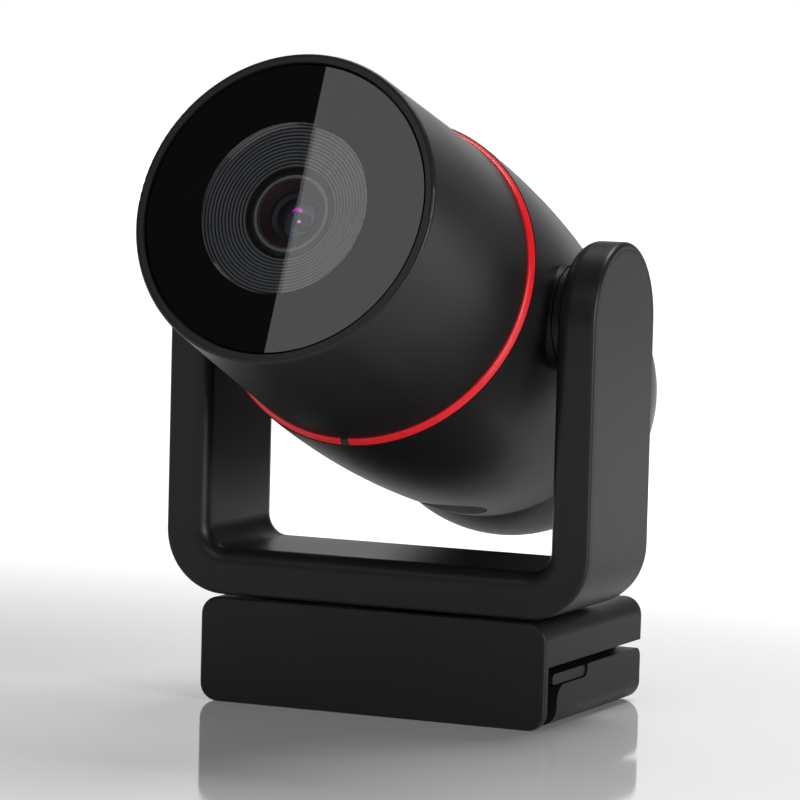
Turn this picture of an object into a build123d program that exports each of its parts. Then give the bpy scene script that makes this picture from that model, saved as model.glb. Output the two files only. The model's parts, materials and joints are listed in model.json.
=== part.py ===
"""Pan-tilt webcam: a barrel head between the arms of a U-shaped yoke, on a screen clip.

Millimetres. X runs to the right, Y to the back and Z up. The origin is the mouth of
the tripod thread, under the pan axis, on the plane that the clip stands on. The head
looks forward and upward by HEAD_TILT, and the pan is straight ahead.
"""

from build123d import *

import os
from math import acos, cos, pi, radians, sin, sqrt, tan

os.makedirs("parts", exist_ok=True)

# ---------------------------------------------------------------- driving dimensions

# Clip base
BASE_WIDTH = 86.0
BASE_HEIGHT = 24.2
BASE_CORNER = 4.2
BASE_BACK = 40.0
PLATE_FRONT = -18.3
PLATE_THICKNESS = 2.05
BLOCK_FRONT = -16.2
BLOCK_BOTTOM = 14.3
BASE_WALL = 1.8
COVER_THICKNESS = 1.6

# Folding leg under the block
LEG_TOP = 12.5
LEG_BOTTOM = 0.3
LEG_FRONT = -10.8
NOTCH_FLOOR = 9.6
NOTCH_BACK = 7.2
NOTCH_CORNER = 1.8
HINGE_Y = 39.0
HINGE_Z = 13.4
KNUCKLE_RADIUS = 2.4
KNUCKLE_CLEARANCE = 0.3
HINGE_PIN_RADIUS = 1.0
FLAP_THICKNESS = 2.4
FLAP_FRONT = -12.6
FLAP_PIN_Y = 5.4
FLAP_PIN_Z = 11.1
FLAP_PIN_RADIUS = 0.8
TRIPOD_RADIUS = 3.175
TRIPOD_DEPTH = 6.5

# Yoke
YOKE_HALF_WIDTH = 52.5
ARM_INNER = 42.6
YOKE_HALF_DEPTH = 18.25
YOKE_BOTTOM = 24.8
YOKE_FLOOR = 35.5
YOKE_CORNER = 14.5
YOKE_INNER_CORNER = 5.0
YOKE_INNER_EDGE = 3.6
YOKE_OUTER_EDGE = 1.0
ARM_CENTRE_Z = 90.8
YOKE_SKIN = 1.8
YOKE_INNER_WALL = 1.6
SEAM_GAP = 0.1
BRACKET_THICKNESS = 1.2
BOSS_RADIUS = 12.0
BOSS_END = 39.7

# Head, measured along its own axis from the tilt axis, forward positive
TILT_HEIGHT = 91.3
HEAD_TILT = 20.2
RIM_STATION = 72.7
RIM_RADIUS = 35.0
BARREL_BACK_RADIUS = 37.4
RING_FRONT_STATION = 23.3
RING_BACK_STATION = 21.7
RING_FRONT_RADIUS = 37.6
RING_BACK_RADIUS = 38.5
SHELL_WIDEST_STATION = 5.0
SHELL_WIDEST_RADIUS = 38.97
SHELL_CURVE_RADIUS = 370.0
SHELL_BACK_STATION = -54.0
TAIL_CENTRE = -63.7
TAIL_RADIUS = 35.2
HEAD_WALL = 2.0
SPLIT_GAP = 0.1
WINDOW_RADIUS = 19.4
GLASS_RADIUS = 32.8
GLASS_STATION = 72.2
GLASS_THICKNESS = 1.5

# Drives
PAN_MODULE = 0.5
PAN_GEAR_TEETH = 48
TILT_MODULE = 0.6
TILT_GEAR_TEETH = 40
PINION_TEETH = 16
MESH_PLAY = 0.06
SPINDLE_RADIUS = 7.0
STUB_RADIUS = 5.5
RUNNING_FIT = 0.05

# Screw sizes: shank radius and head radius
M2 = (1.0, 1.9)
M25 = (1.25, 2.3)

# ------------------------------------------------------------------------- frames

MARGIN = 1.0
TILT = radians(HEAD_TILT)
FORWARD = Vector(0, -cos(TILT), sin(TILT))
UPWARD = Vector(0, sin(TILT), cos(TILT))
TILT_POINT = Vector(0, 0, TILT_HEIGHT)

# Local Z runs forward along the head's axis, local X to the right, local Y upward.
HEAD = Plane(origin=TILT_POINT, x_dir=(1, 0, 0), z_dir=FORWARD)
# Local X runs forward along the head's axis and local Y is the radius.
HEAD_PROFILE = Plane(origin=TILT_POINT, x_dir=FORWARD, z_dir=(-1, 0, 0))
HEAD_AXIS = Axis(TILT_POINT, FORWARD)


def front_view(y):
    """Plane facing forward at depth y, with local X to the right and local Y up."""
    return Plane(origin=(0, y, 0), x_dir=(1, 0, 0), z_dir=(0, -1, 0))


def side_view(x):
    """Plane facing right at x, with local X to the back and local Y up."""
    return Plane(origin=(x, 0, 0), x_dir=(0, 1, 0), z_dir=(1, 0, 0))


def save(part, label):
    """Label a finished piece and write its STEP file."""
    part.label = label
    export_step(part, f"parts/{label}.step")


def rectangle(x_low, x_high, y_low, y_high, mode=Mode.ADD):
    """Rectangle between two corners in the current sketch."""
    with Locations(((x_low + x_high) / 2, (y_low + y_high) / 2)):
        Rectangle(x_high - x_low, y_high - y_low, mode=mode)


def ring_profile(*points):
    """Closed outline in the current sketch, from points in order."""
    with BuildLine() as outline:
        Polyline(*points, close=True)
    make_face(outline.edges())


def shell_radius(station):
    """Outer radius of the rear shell, a large circular arc along the head."""
    run = station - SHELL_WIDEST_STATION
    drop = SHELL_CURVE_RADIUS - sqrt(SHELL_CURVE_RADIUS**2 - run**2)
    return SHELL_WIDEST_RADIUS - drop


def barrel_radius(station):
    """Outer radius of the front barrel, a slight cone."""
    share = (station - RING_FRONT_STATION) / (RIM_STATION - RING_FRONT_STATION)
    return BARREL_BACK_RADIUS + share * (RIM_RADIUS - BARREL_BACK_RADIUS)


# --------------------------------------------------------------------- gear outline

PRESSURE_ANGLE = radians(20.0)
ADDENDUM = 0.8
DEDENDUM = 1.15
ROOT_WIDENING = 0.02
TOOTH_SHARE = 0.9


def involute_angle(radius, base_radius):
    """Roll angle of an involute at a radius outside its base circle."""
    if radius <= base_radius:
        return 0.0
    alpha = acos(base_radius / radius)
    return tan(alpha) - alpha


def gear_points(teeth, module, first_tooth):
    """Outline of a spur gear, with one tooth centred on the angle first_tooth."""
    pitch = teeth * module / 2
    base = pitch * cos(PRESSURE_ANGLE)
    root = pitch - DEDENDUM * module
    tip = pitch + ADDENDUM * module
    half = TOOTH_SHARE * pi / (2 * teeth)
    flank = [max(root, base), pitch, tip]
    offset = [half + involute_angle(pitch, base) - involute_angle(r, base) for r in flank]
    flank.insert(0, root)
    offset.insert(0, offset[0] + ROOT_WIDENING)
    points = []
    for tooth in range(teeth):
        middle = first_tooth + 2 * pi * tooth / teeth
        for radius, angle in zip(flank, offset):
            points.append((radius * cos(middle - angle), radius * sin(middle - angle)))
        for radius, angle in reversed(list(zip(flank, offset))):
            points.append((radius * cos(middle + angle), radius * sin(middle + angle)))
    return points


def gear_sketch(teeth, module, first_tooth, centre, bore):
    """Gear face in the current sketch, with a round bore."""
    shifted = [(x + centre, y) for x, y in gear_points(teeth, module, first_tooth)]
    ring_profile(*shifted)
    if bore > 0:
        with Locations((centre, 0)):
            Circle(bore, mode=Mode.SUBTRACT)


HEX_SHARE = 0.45


def screws(label, plane, spots, size, head_height, shank_length):
    """Group of equal pan-head screws: heads behind the plane, shanks ahead of it."""
    shank_radius, head_radius = size
    with BuildPart() as group:
        with BuildSketch(plane.offset(-head_height)):
            with Locations(*spots):
                Circle(head_radius)
        extrude(amount=head_height)
        with BuildSketch(plane):
            with Locations(*spots):
                Circle(shank_radius)
        extrude(amount=shank_length)
        with BuildSketch(plane.offset(-head_height)):
            with Locations(*spots):
                RegularPolygon(HEX_SHARE * head_radius, 6)
        extrude(amount=0.5 * head_height, mode=Mode.SUBTRACT)
    save(group.part, label)
    return group.part


# ================================================================== clip base (fixed)

HALF_BASE = BASE_WIDTH / 2
BLOCK_ROOF = BASE_HEIGHT - BASE_WALL
HINGE_BEAM_FRONT = 35.6
HINGE_BEAM_TOP = 18.5
STUD_RADIUS = 1.5
STUD_SPOTS = [(-30.0, 19.0), (30.0, 19.0)]
COVER_SCREW_SPOTS = [(-36.0, -10.0), (36.0, -10.0), (-36.0, 31.0), (36.0, 31.0)]
PILLAR_RADIUS = 2.6
USB_CENTRE_Z = 20.4
USB_WIDTH = 8.94
USB_HEIGHT = 3.2

# Hinge knuckles along X: the base carries three, the leg the two between them.
BASE_KNUCKLES = [(-36.0, -24.0), (-6.0, 6.0), (24.0, 36.0)]
LEG_KNUCKLES = [(-24.0, -6.0), (6.0, 24.0)]


def base_section():
    """Rounded cross-section that the front plate, the block and the leg share."""
    with Locations((0, BASE_HEIGHT / 2)):
        RectangleRounded(BASE_WIDTH, BASE_HEIGHT, BASE_CORNER)


def hinge_cylinder(x_low, x_high, radius, mode):
    """Cylinder about the leg's hinge axis between two stations along X."""
    with BuildSketch(side_view(x_low)) as disc:
        with Locations((HINGE_Y, HINGE_Z)):
            Circle(radius)
    extrude(disc.sketch, amount=x_high - x_low, mode=mode)


# Face plate: the front of the base and the lip that hangs before a screen.
PLATE_EDGE = 0.7
with BuildPart() as front_plate:
    with BuildSketch(front_view(PLATE_FRONT + PLATE_THICKNESS)):
        base_section()
    extrude(amount=PLATE_THICKNESS)
    fillet(front_plate.faces().sort_by(Axis.Y)[0].edges(), radius=PLATE_EDGE)
    with BuildSketch(front_view(BLOCK_FRONT + BASE_WALL)):
        with Locations(*STUD_SPOTS):
            Circle(STUD_RADIUS)
    extrude(amount=BLOCK_FRONT + BASE_WALL - (PLATE_FRONT + PLATE_THICKNESS))
save(front_plate.part, "front_plate")

# Block behind the plate's upper part: a box that is open below.
with BuildPart() as base_housing:
    with BuildSketch(front_view(BASE_BACK)):
        base_section()
    extrude(amount=BASE_BACK - BLOCK_FRONT)
    split(bisect_by=Plane.XY.offset(BLOCK_BOTTOM), keep=Keep.TOP)
    with BuildSketch(Plane.XY.offset(BLOCK_BOTTOM)):
        rectangle(-HALF_BASE + BASE_WALL, HALF_BASE - BASE_WALL, BLOCK_FRONT + BASE_WALL, HINGE_BEAM_FRONT)
    extrude(amount=BLOCK_ROOF - BLOCK_BOTTOM, mode=Mode.SUBTRACT)
    with BuildSketch(Plane.XY.offset(HINGE_BEAM_TOP)):
        rectangle(-HALF_BASE + BASE_WALL, HALF_BASE - BASE_WALL, 0, BASE_BACK - BASE_WALL)
    extrude(amount=BLOCK_ROOF - HINGE_BEAM_TOP, mode=Mode.SUBTRACT)
    # Screw pillars under the roof
    with BuildSketch(Plane.XY.offset(BLOCK_BOTTOM + COVER_THICKNESS)):
        with Locations(*COVER_SCREW_SPOTS):
            Circle(PILLAR_RADIUS)
            Circle(M2[0], mode=Mode.SUBTRACT)
    extrude(amount=BLOCK_ROOF - BLOCK_BOTTOM - COVER_THICKNESS)
    # Hinge knuckles, and room for the leg's knuckles between them
    for low, high in LEG_KNUCKLES:
        hinge_cylinder(low - KNUCKLE_CLEARANCE, high + KNUCKLE_CLEARANCE,
                       KNUCKLE_RADIUS + KNUCKLE_CLEARANCE, Mode.SUBTRACT)
    for low, high in BASE_KNUCKLES:
        hinge_cylinder(low + KNUCKLE_CLEARANCE, high - KNUCKLE_CLEARANCE, KNUCKLE_RADIUS, Mode.ADD)
    hinge_cylinder(-HALF_BASE + 5, HALF_BASE - 5, HINGE_PIN_RADIUS, Mode.SUBTRACT)
    # Holes for the spindle, the plate's studs and the port
    with BuildSketch(Plane.XY.offset(BLOCK_ROOF)):
        Circle(SPINDLE_RADIUS)
    extrude(amount=BASE_WALL, mode=Mode.SUBTRACT)
    with BuildSketch(front_view(BLOCK_FRONT + BASE_WALL)):
        with Locations(*STUD_SPOTS):
            Circle(STUD_RADIUS)
    extrude(amount=BASE_WALL, mode=Mode.SUBTRACT)
    with BuildSketch(front_view(BASE_BACK)):
        with Locations((0, USB_CENTRE_Z)):
            SlotOverall(USB_WIDTH, USB_HEIGHT)
    extrude(amount=BASE_WALL, mode=Mode.SUBTRACT)
save(base_housing.part, "base_housing")

# Plate that closes the block from below, with countersunk screw holes.
COVER_FRONT = BLOCK_FRONT + BASE_WALL + SEAM_GAP
COVER_BACK = HINGE_BEAM_FRONT - SEAM_GAP
COVER_HALF = HALF_BASE - BASE_WALL - SEAM_GAP
SCREW_HEAD_HEIGHT = 1.0

with BuildPart() as base_cover:
    with BuildSketch(Plane.XY.offset(BLOCK_BOTTOM)):
        rectangle(-COVER_HALF, COVER_HALF, COVER_FRONT, COVER_BACK)
        with Locations(*COVER_SCREW_SPOTS):
            Circle(M2[0], mode=Mode.SUBTRACT)
    extrude(amount=COVER_THICKNESS)
    with BuildSketch(Plane.XY.offset(BLOCK_BOTTOM)):
        with Locations(*COVER_SCREW_SPOTS):
            Circle(M2[1])
    extrude(amount=SCREW_HEAD_HEIGHT, mode=Mode.SUBTRACT)
save(base_cover.part, "base_cover")

screws("base_screws", Plane.XY.offset(BLOCK_BOTTOM + SCREW_HEAD_HEIGHT), COVER_SCREW_SPOTS, M2,
       SCREW_HEAD_HEIGHT, 5.0)

# Rubber pads of the jaw: one under the block, one behind the lip.
PAD_HALF = 32.0
PAD_THICKNESS = 0.8
PAD_FRONT = -15.2
PAD_BACK = -4.0

with BuildPart() as jaw_pad:
    with BuildSketch(Plane.XY.offset(BLOCK_BOTTOM - PAD_THICKNESS)):
        rectangle(-PAD_HALF, PAD_HALF, PAD_FRONT, PAD_BACK)
    extrude(amount=PAD_THICKNESS)
    fillet(jaw_pad.edges().filter_by(Axis.Z), radius=1.0)
save(jaw_pad.part, "jaw_pad")

LIP_PAD_LOW = 2.5
LIP_PAD_HIGH = 12.0
with BuildPart() as lip_pad:
    with BuildSketch(front_view(PLATE_FRONT + PLATE_THICKNESS + PAD_THICKNESS)):
        rectangle(-PAD_HALF, PAD_HALF, LIP_PAD_LOW, LIP_PAD_HIGH)
    extrude(amount=PAD_THICKNESS)
    fillet(lip_pad.edges().filter_by(Axis.Y), radius=1.0)
save(lip_pad.part, "lip_pad")

# Steel pin through all five knuckles
with BuildPart() as hinge_pin:
    with BuildSketch(side_view(-HALF_BASE + 6)):
        with Locations((HINGE_Y, HINGE_Z)):
            Circle(HINGE_PIN_RADIUS - RUNNING_FIT)
    extrude(amount=BASE_WIDTH - 12)
save(hinge_pin.part, "hinge_pin")

# Hollow spindle that the yoke turns on, with a groove for its clip.
SPINDLE_FLANGE = 11.0
SPINDLE_FLANGE_THICKNESS = 2.0
SPINDLE_BORE = 4.5
SPINDLE_TOP = 33.05
CLIP_Z = 32.3
CLIP_THICKNESS = 0.6
CLIP_RADII = (6.2, 9.0)

with BuildPart() as pan_spindle:
    with BuildSketch(Plane.XY.offset(BLOCK_ROOF - SPINDLE_FLANGE_THICKNESS)):
        Circle(SPINDLE_FLANGE)
    extrude(amount=SPINDLE_FLANGE_THICKNESS)
    with BuildSketch(Plane.XY.offset(BLOCK_ROOF)):
        Circle(SPINDLE_RADIUS)
    extrude(amount=SPINDLE_TOP - BLOCK_ROOF)
    with BuildSketch(Plane.XY.offset(BLOCK_ROOF - SPINDLE_FLANGE_THICKNESS)):
        Circle(SPINDLE_BORE)
    extrude(amount=SPINDLE_TOP - BLOCK_ROOF + SPINDLE_FLANGE_THICKNESS, mode=Mode.SUBTRACT)
    with BuildSketch(Plane.XY.offset(CLIP_Z)):
        Circle(SPINDLE_RADIUS)
        Circle(CLIP_RADII[0], mode=Mode.SUBTRACT)
    extrude(amount=CLIP_THICKNESS, mode=Mode.SUBTRACT)
save(pan_spindle.part, "pan_spindle")

# Open spring clip in the groove
CLIP_MOUTH = 3.0
with BuildPart() as spindle_clip:
    with BuildSketch(Plane.XY.offset(CLIP_Z)):
        Circle(CLIP_RADII[1])
        Circle(CLIP_RADII[0], mode=Mode.SUBTRACT)
        rectangle(-CLIP_MOUTH, CLIP_MOUTH, 0, CLIP_RADII[1] + MARGIN, mode=Mode.SUBTRACT)
    extrude(amount=CLIP_THICKNESS)
save(spindle_clip.part, "spindle_clip")

# Fixed sun gear on the spindle, with a tooth towards the motor in the yoke (+X).
PAN_GEAR_Z = 30.55
PAN_GEAR_THICKNESS = 1.65
with BuildPart() as pan_gear:
    with BuildSketch(Plane.XY.offset(PAN_GEAR_Z)):
        gear_sketch(PAN_GEAR_TEETH, PAN_MODULE, 0.0, 0.0, SPINDLE_RADIUS)
    extrude(amount=PAN_GEAR_THICKNESS)
save(pan_gear.part, "pan_gear")

# Circuit board in the block, and its data and power port in the back wall.
BOARD_Z = 17.5
BOARD_THICKNESS = 1.2
BOARD_HALF = 24.0
BOARD_FRONT = -12.0
BASE_CHIPS = [(-18.0, -11.0, 16.0, 23.0), (12.0, 17.0, 14.0, 18.0), (13.0, 20.0, 23.0, 27.0)]
CHIP_HEIGHT = 0.9
with BuildPart() as base_board:
    with BuildSketch(Plane.XY.offset(BOARD_Z)):
        rectangle(-BOARD_HALF, BOARD_HALF, BOARD_FRONT, HINGE_BEAM_FRONT - 0.6)
    extrude(amount=BOARD_THICKNESS)
    with BuildSketch(Plane.XY.offset(BOARD_Z + BOARD_THICKNESS)):
        for chip in BASE_CHIPS:
            rectangle(*chip)
    extrude(amount=CHIP_HEIGHT)
save(base_board.part, "base_board")

USB_DEPTH = 9.0
USB_SHELL = 0.3
USB_TONGUE = (6.6, 0.7)
with BuildPart() as usb_port:
    with BuildSketch(front_view(BASE_BACK)):
        with Locations((0, USB_CENTRE_Z)):
            SlotOverall(USB_WIDTH, USB_HEIGHT)
    extrude(amount=USB_DEPTH)
    with BuildSketch(front_view(BASE_BACK)):
        with Locations((0, USB_CENTRE_Z)):
            SlotOverall(USB_WIDTH - 2 * USB_SHELL, USB_HEIGHT - 2 * USB_SHELL)
    extrude(amount=USB_DEPTH - 1.2, mode=Mode.SUBTRACT)
    with BuildSketch(front_view(BASE_BACK - 0.8)):
        with Locations((0, USB_CENTRE_Z)):
            Rectangle(*USB_TONGUE)
    extrude(amount=USB_DEPTH - 1.0)
save(usb_port.part, "usb_port")

# ======================================================================= folding leg

LEG_POCKET_FRONT = 9.0
LEG_POCKET_BACK = 34.5
LEG_POCKET_FLOOR = 2.1
LEG_COVER_THICKNESS = 1.6
LEG_POCKET_HALF = 40.5
LEG_NOSE = 4.0
LEG_HEEL = 2.5
FOOT_PAD_INNER = 22.0
FOOT_PAD_OUTER = 36.0
FOOT_PAD_FRONT = -6.0
FOOT_PAD_BACK = 34.0
FOOT_PAD_THICKNESS = 0.9
INSERT_RADIUS = 5.0
INSERT_HEIGHT = 7.5
LEG_SCREW_SPOTS = [(-37.0, 12.5), (37.0, 12.5), (-37.0, 31.0), (37.0, 31.0)]
FLAP_LUGS = [(-30.0, -24.0), (24.0, 30.0)]
FLAP_LUG_RADIUS = 1.15

with BuildPart() as leg_housing:
    with BuildSketch(front_view(BASE_BACK)):
        with Locations((0, (BASE_HEIGHT + LEG_BOTTOM) / 2)):
            RectangleRounded(BASE_WIDTH, BASE_HEIGHT - LEG_BOTTOM, BASE_CORNER)
    extrude(amount=BASE_BACK - LEG_FRONT)
    # Side outline: a rounded nose, the notch for the flap and a rounded heel
    with BuildSketch(side_view(-HALF_BASE)) as leg_outline:
        with BuildLine():
            Polyline(
                (LEG_FRONT, 0),
                (LEG_FRONT, NOTCH_FLOOR),
                (NOTCH_BACK, NOTCH_FLOOR),
                (NOTCH_BACK, LEG_TOP),
                (BASE_BACK, LEG_TOP),
                (BASE_BACK, 0),
                close=True,
            )
        make_face()
        fillet(leg_outline.vertices().sort_by_distance((LEG_FRONT, NOTCH_FLOOR))[0], radius=LEG_NOSE)
        fillet(leg_outline.vertices().sort_by_distance((NOTCH_BACK, NOTCH_FLOOR))[0], radius=NOTCH_CORNER)
        fillet(leg_outline.vertices().sort_by_distance((BASE_BACK, LEG_TOP))[0], radius=LEG_HEEL)
    extrude(amount=BASE_WIDTH, mode=Mode.INTERSECT)
    # Pocket, open above, with screw pillars
    with BuildSketch(Plane.XY.offset(LEG_POCKET_FLOOR)):
        rectangle(-LEG_POCKET_HALF, LEG_POCKET_HALF, LEG_POCKET_FRONT, LEG_POCKET_BACK)
        with Locations(*LEG_SCREW_SPOTS):
            Circle(PILLAR_RADIUS, mode=Mode.SUBTRACT)
    extrude(amount=LEG_TOP - LEG_POCKET_FLOOR - LEG_COVER_THICKNESS, mode=Mode.SUBTRACT)
    with BuildSketch(Plane.XY.offset(LEG_TOP - LEG_COVER_THICKNESS)):
        rectangle(-LEG_POCKET_HALF, LEG_POCKET_HALF, LEG_POCKET_FRONT, LEG_POCKET_BACK)
    extrude(amount=LEG_COVER_THICKNESS, mode=Mode.SUBTRACT)
    with BuildSketch(Plane.XY.offset(LEG_POCKET_FLOOR)):
        with Locations(*LEG_SCREW_SPOTS):
            Circle(M2[0])
    extrude(amount=LEG_TOP, mode=Mode.SUBTRACT)
    # Knuckles, and room for the knuckles of the base
    for low, high in BASE_KNUCKLES:
        hinge_cylinder(low - KNUCKLE_CLEARANCE, high + KNUCKLE_CLEARANCE,
                       KNUCKLE_RADIUS + KNUCKLE_CLEARANCE, Mode.SUBTRACT)
    for low, high in LEG_KNUCKLES:
        hinge_cylinder(low + KNUCKLE_CLEARANCE, high - KNUCKLE_CLEARANCE, KNUCKLE_RADIUS, Mode.ADD)
    hinge_cylinder(-HALF_BASE + 5, HALF_BASE - 5, HINGE_PIN_RADIUS, Mode.SUBTRACT)
    # Lugs for the flap's pin, rising from the notch floor
    for low, high in FLAP_LUGS:
        with BuildSketch(side_view(low + KNUCKLE_CLEARANCE)):
            with Locations((FLAP_PIN_Y, FLAP_PIN_Z)):
                Circle(FLAP_LUG_RADIUS)
            rectangle(FLAP_PIN_Y - FLAP_LUG_RADIUS, FLAP_PIN_Y + FLAP_LUG_RADIUS, NOTCH_FLOOR, FLAP_PIN_Z)
            with Locations((FLAP_PIN_Y, FLAP_PIN_Z)):
                Circle(FLAP_PIN_RADIUS, mode=Mode.SUBTRACT)
        extrude(amount=high - low - 2 * KNUCKLE_CLEARANCE)
    # Pockets below for the foot pads and the tripod insert
    with BuildSketch(Plane.XY.offset(LEG_BOTTOM)):
        rectangle(-FOOT_PAD_OUTER, -FOOT_PAD_INNER, FOOT_PAD_FRONT, FOOT_PAD_BACK)
        rectangle(FOOT_PAD_INNER, FOOT_PAD_OUTER, FOOT_PAD_FRONT, FOOT_PAD_BACK)
    extrude(amount=FOOT_PAD_THICKNESS - LEG_BOTTOM, mode=Mode.SUBTRACT)
    with BuildSketch(Plane.XY.offset(LEG_BOTTOM)):
        Circle(INSERT_RADIUS)
    extrude(amount=INSERT_HEIGHT - LEG_BOTTOM, mode=Mode.SUBTRACT)
save(leg_housing.part, "leg_housing")

with BuildPart() as leg_cover:
    with BuildSketch(Plane.XY.offset(LEG_TOP - LEG_COVER_THICKNESS)):
        rectangle(-LEG_POCKET_HALF + SEAM_GAP, LEG_POCKET_HALF - SEAM_GAP,
                  LEG_POCKET_FRONT + SEAM_GAP, LEG_POCKET_BACK - SEAM_GAP)
        with Locations(*LEG_SCREW_SPOTS):
            Circle(M2[0], mode=Mode.SUBTRACT)
    extrude(amount=LEG_COVER_THICKNESS)
    with BuildSketch(Plane.XY.offset(LEG_TOP - SCREW_HEAD_HEIGHT)):
        with Locations(*LEG_SCREW_SPOTS):
            Circle(M2[1])
    extrude(amount=SCREW_HEAD_HEIGHT, mode=Mode.SUBTRACT)
save(leg_cover.part, "leg_cover")

leg_screw_plane = Plane(origin=(0, 0, LEG_TOP - SCREW_HEAD_HEIGHT), x_dir=(1, 0, 0), z_dir=(0, 0, -1))
screws("leg_screws", leg_screw_plane, [(x, -y) for x, y in LEG_SCREW_SPOTS], M2, SCREW_HEAD_HEIGHT, 5.0)

LEG_PAD_FRONT = 11.0
LEG_PAD_BACK = 31.0
with BuildPart() as leg_pad:
    with BuildSketch(Plane.XY.offset(LEG_TOP)):
        rectangle(-PAD_HALF, PAD_HALF, LEG_PAD_FRONT, LEG_PAD_BACK)
    extrude(amount=PAD_THICKNESS)
    fillet(leg_pad.edges().filter_by(Axis.Z), radius=1.0)
save(leg_pad.part, "leg_pad")

with BuildPart() as foot_pads:
    with BuildSketch():
        rectangle(-FOOT_PAD_OUTER, -FOOT_PAD_INNER, FOOT_PAD_FRONT, FOOT_PAD_BACK)
        rectangle(FOOT_PAD_INNER, FOOT_PAD_OUTER, FOOT_PAD_FRONT, FOOT_PAD_BACK)
    extrude(amount=FOOT_PAD_THICKNESS)
save(foot_pads.part, "foot_pads")

# Brass insert with the tripod thread, drawn at the thread's major radius
with BuildPart() as tripod_insert:
    with BuildSketch():
        Circle(INSERT_RADIUS)
    extrude(amount=INSERT_HEIGHT)
    with BuildSketch():
        Circle(TRIPOD_RADIUS)
    extrude(amount=TRIPOD_DEPTH, mode=Mode.SUBTRACT)
save(tripod_insert.part, "tripod_insert")

# ============================================================= flap in the leg's notch

FLAP_HALF = HALF_BASE - 0.4
FLAP_PIN_HALF = 38.0
PRESS_FIT = 0.02
FLAP_EDGE = 0.9
FLAP_PAD_BACK = 1.0
FLAP_PAD_INSET = 1.4
FLAP_PAD_THICKNESS = 0.6
FLAP_BOTTOM = FLAP_PIN_Z - FLAP_THICKNESS / 2
FLAP_TOP = FLAP_PIN_Z + FLAP_THICKNESS / 2
FLAP_BACK = FLAP_PIN_Y + FLAP_THICKNESS / 2

with BuildPart() as clamp_flap:
    with BuildSketch(side_view(-FLAP_HALF)) as flap_outline:
        rectangle(FLAP_FRONT, FLAP_PIN_Y, FLAP_BOTTOM, FLAP_TOP)
        fillet(flap_outline.vertices().group_by(Axis.X)[0], radius=FLAP_EDGE)
        with Locations((FLAP_PIN_Y, FLAP_PIN_Z)):
            Circle(FLAP_THICKNESS / 2)
    extrude(amount=2 * FLAP_HALF)
    with BuildSketch(side_view(-FLAP_PIN_HALF)):
        with Locations((FLAP_PIN_Y, FLAP_PIN_Z)):
            Circle(FLAP_PIN_RADIUS - PRESS_FIT)
    extrude(amount=2 * FLAP_PIN_HALF, mode=Mode.SUBTRACT)
    for low, high in FLAP_LUGS:
        with BuildSketch(Plane.XY.offset(FLAP_BOTTOM)):
            rectangle(low, high, FLAP_PIN_Y - 2.0, FLAP_BACK + 1)
        extrude(amount=FLAP_THICKNESS, mode=Mode.SUBTRACT)
save(clamp_flap.part, "clamp_flap")

with BuildPart() as flap_pin:
    with BuildSketch(side_view(-FLAP_PIN_HALF)):
        with Locations((FLAP_PIN_Y, FLAP_PIN_Z)):
            Circle(FLAP_PIN_RADIUS - RUNNING_FIT)
    extrude(amount=2 * FLAP_PIN_HALF)
save(flap_pin.part, "flap_pin")

with BuildPart() as flap_pad:
    with BuildSketch(Plane.XY.offset(FLAP_TOP)):
        rectangle(-PAD_HALF, PAD_HALF, FLAP_FRONT + FLAP_PAD_INSET, FLAP_PAD_BACK)
    extrude(amount=FLAP_PAD_THICKNESS)
    fillet(flap_pad.edges().filter_by(Axis.Z), radius=1.0)
save(flap_pad.part, "flap_pad")

# ============================================================================== yoke

ARM_TOP = ARM_CENTRE_Z + YOKE_HALF_DEPTH
COVER_SEAM = -YOKE_HALF_DEPTH + YOKE_SKIN
BACK_WALL_FRONT = YOKE_HALF_DEPTH - YOKE_SKIN
TILT_SPOT = (0, TILT_HEIGHT)


def u_outline(inset, inner_growth):
    """U shape of the yoke, set in from its outer edge and grown out from its inner one."""
    half = YOKE_HALF_WIDTH - inset
    bottom = YOKE_BOTTOM + inset
    inner = ARM_INNER + inner_growth
    floor = YOKE_FLOOR - inner_growth
    with BuildSketch(Plane.XY, mode=Mode.PRIVATE) as opening:
        rectangle(-inner, inner, floor, ARM_TOP + 10)
        fillet(opening.vertices().group_by(Axis.Y)[0], radius=YOKE_INNER_CORNER + inner_growth)
    with BuildSketch(Plane.XY, mode=Mode.PRIVATE) as u_shape:
        rectangle(-half, half, bottom, ARM_TOP + 5)
        fillet(u_shape.vertices().group_by(Axis.Y)[0], radius=YOKE_CORNER - inset)
        add(opening.sketch, mode=Mode.SUBTRACT)
    return u_shape.sketch


def side_trim(inset, back):
    """Trim to the side outline: straight below, a half circle above, and flat at the back."""
    reach = YOKE_HALF_DEPTH - inset
    with BuildSketch(side_view(-YOKE_HALF_WIDTH - MARGIN)) as outline:
        rectangle(-reach, back, 0, ARM_CENTRE_Z)
        with Locations((0, ARM_CENTRE_Z)):
            Circle(reach)
    extrude(outline.sketch, amount=2 * (YOKE_HALF_WIDTH + MARGIN), mode=Mode.INTERSECT)


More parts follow.
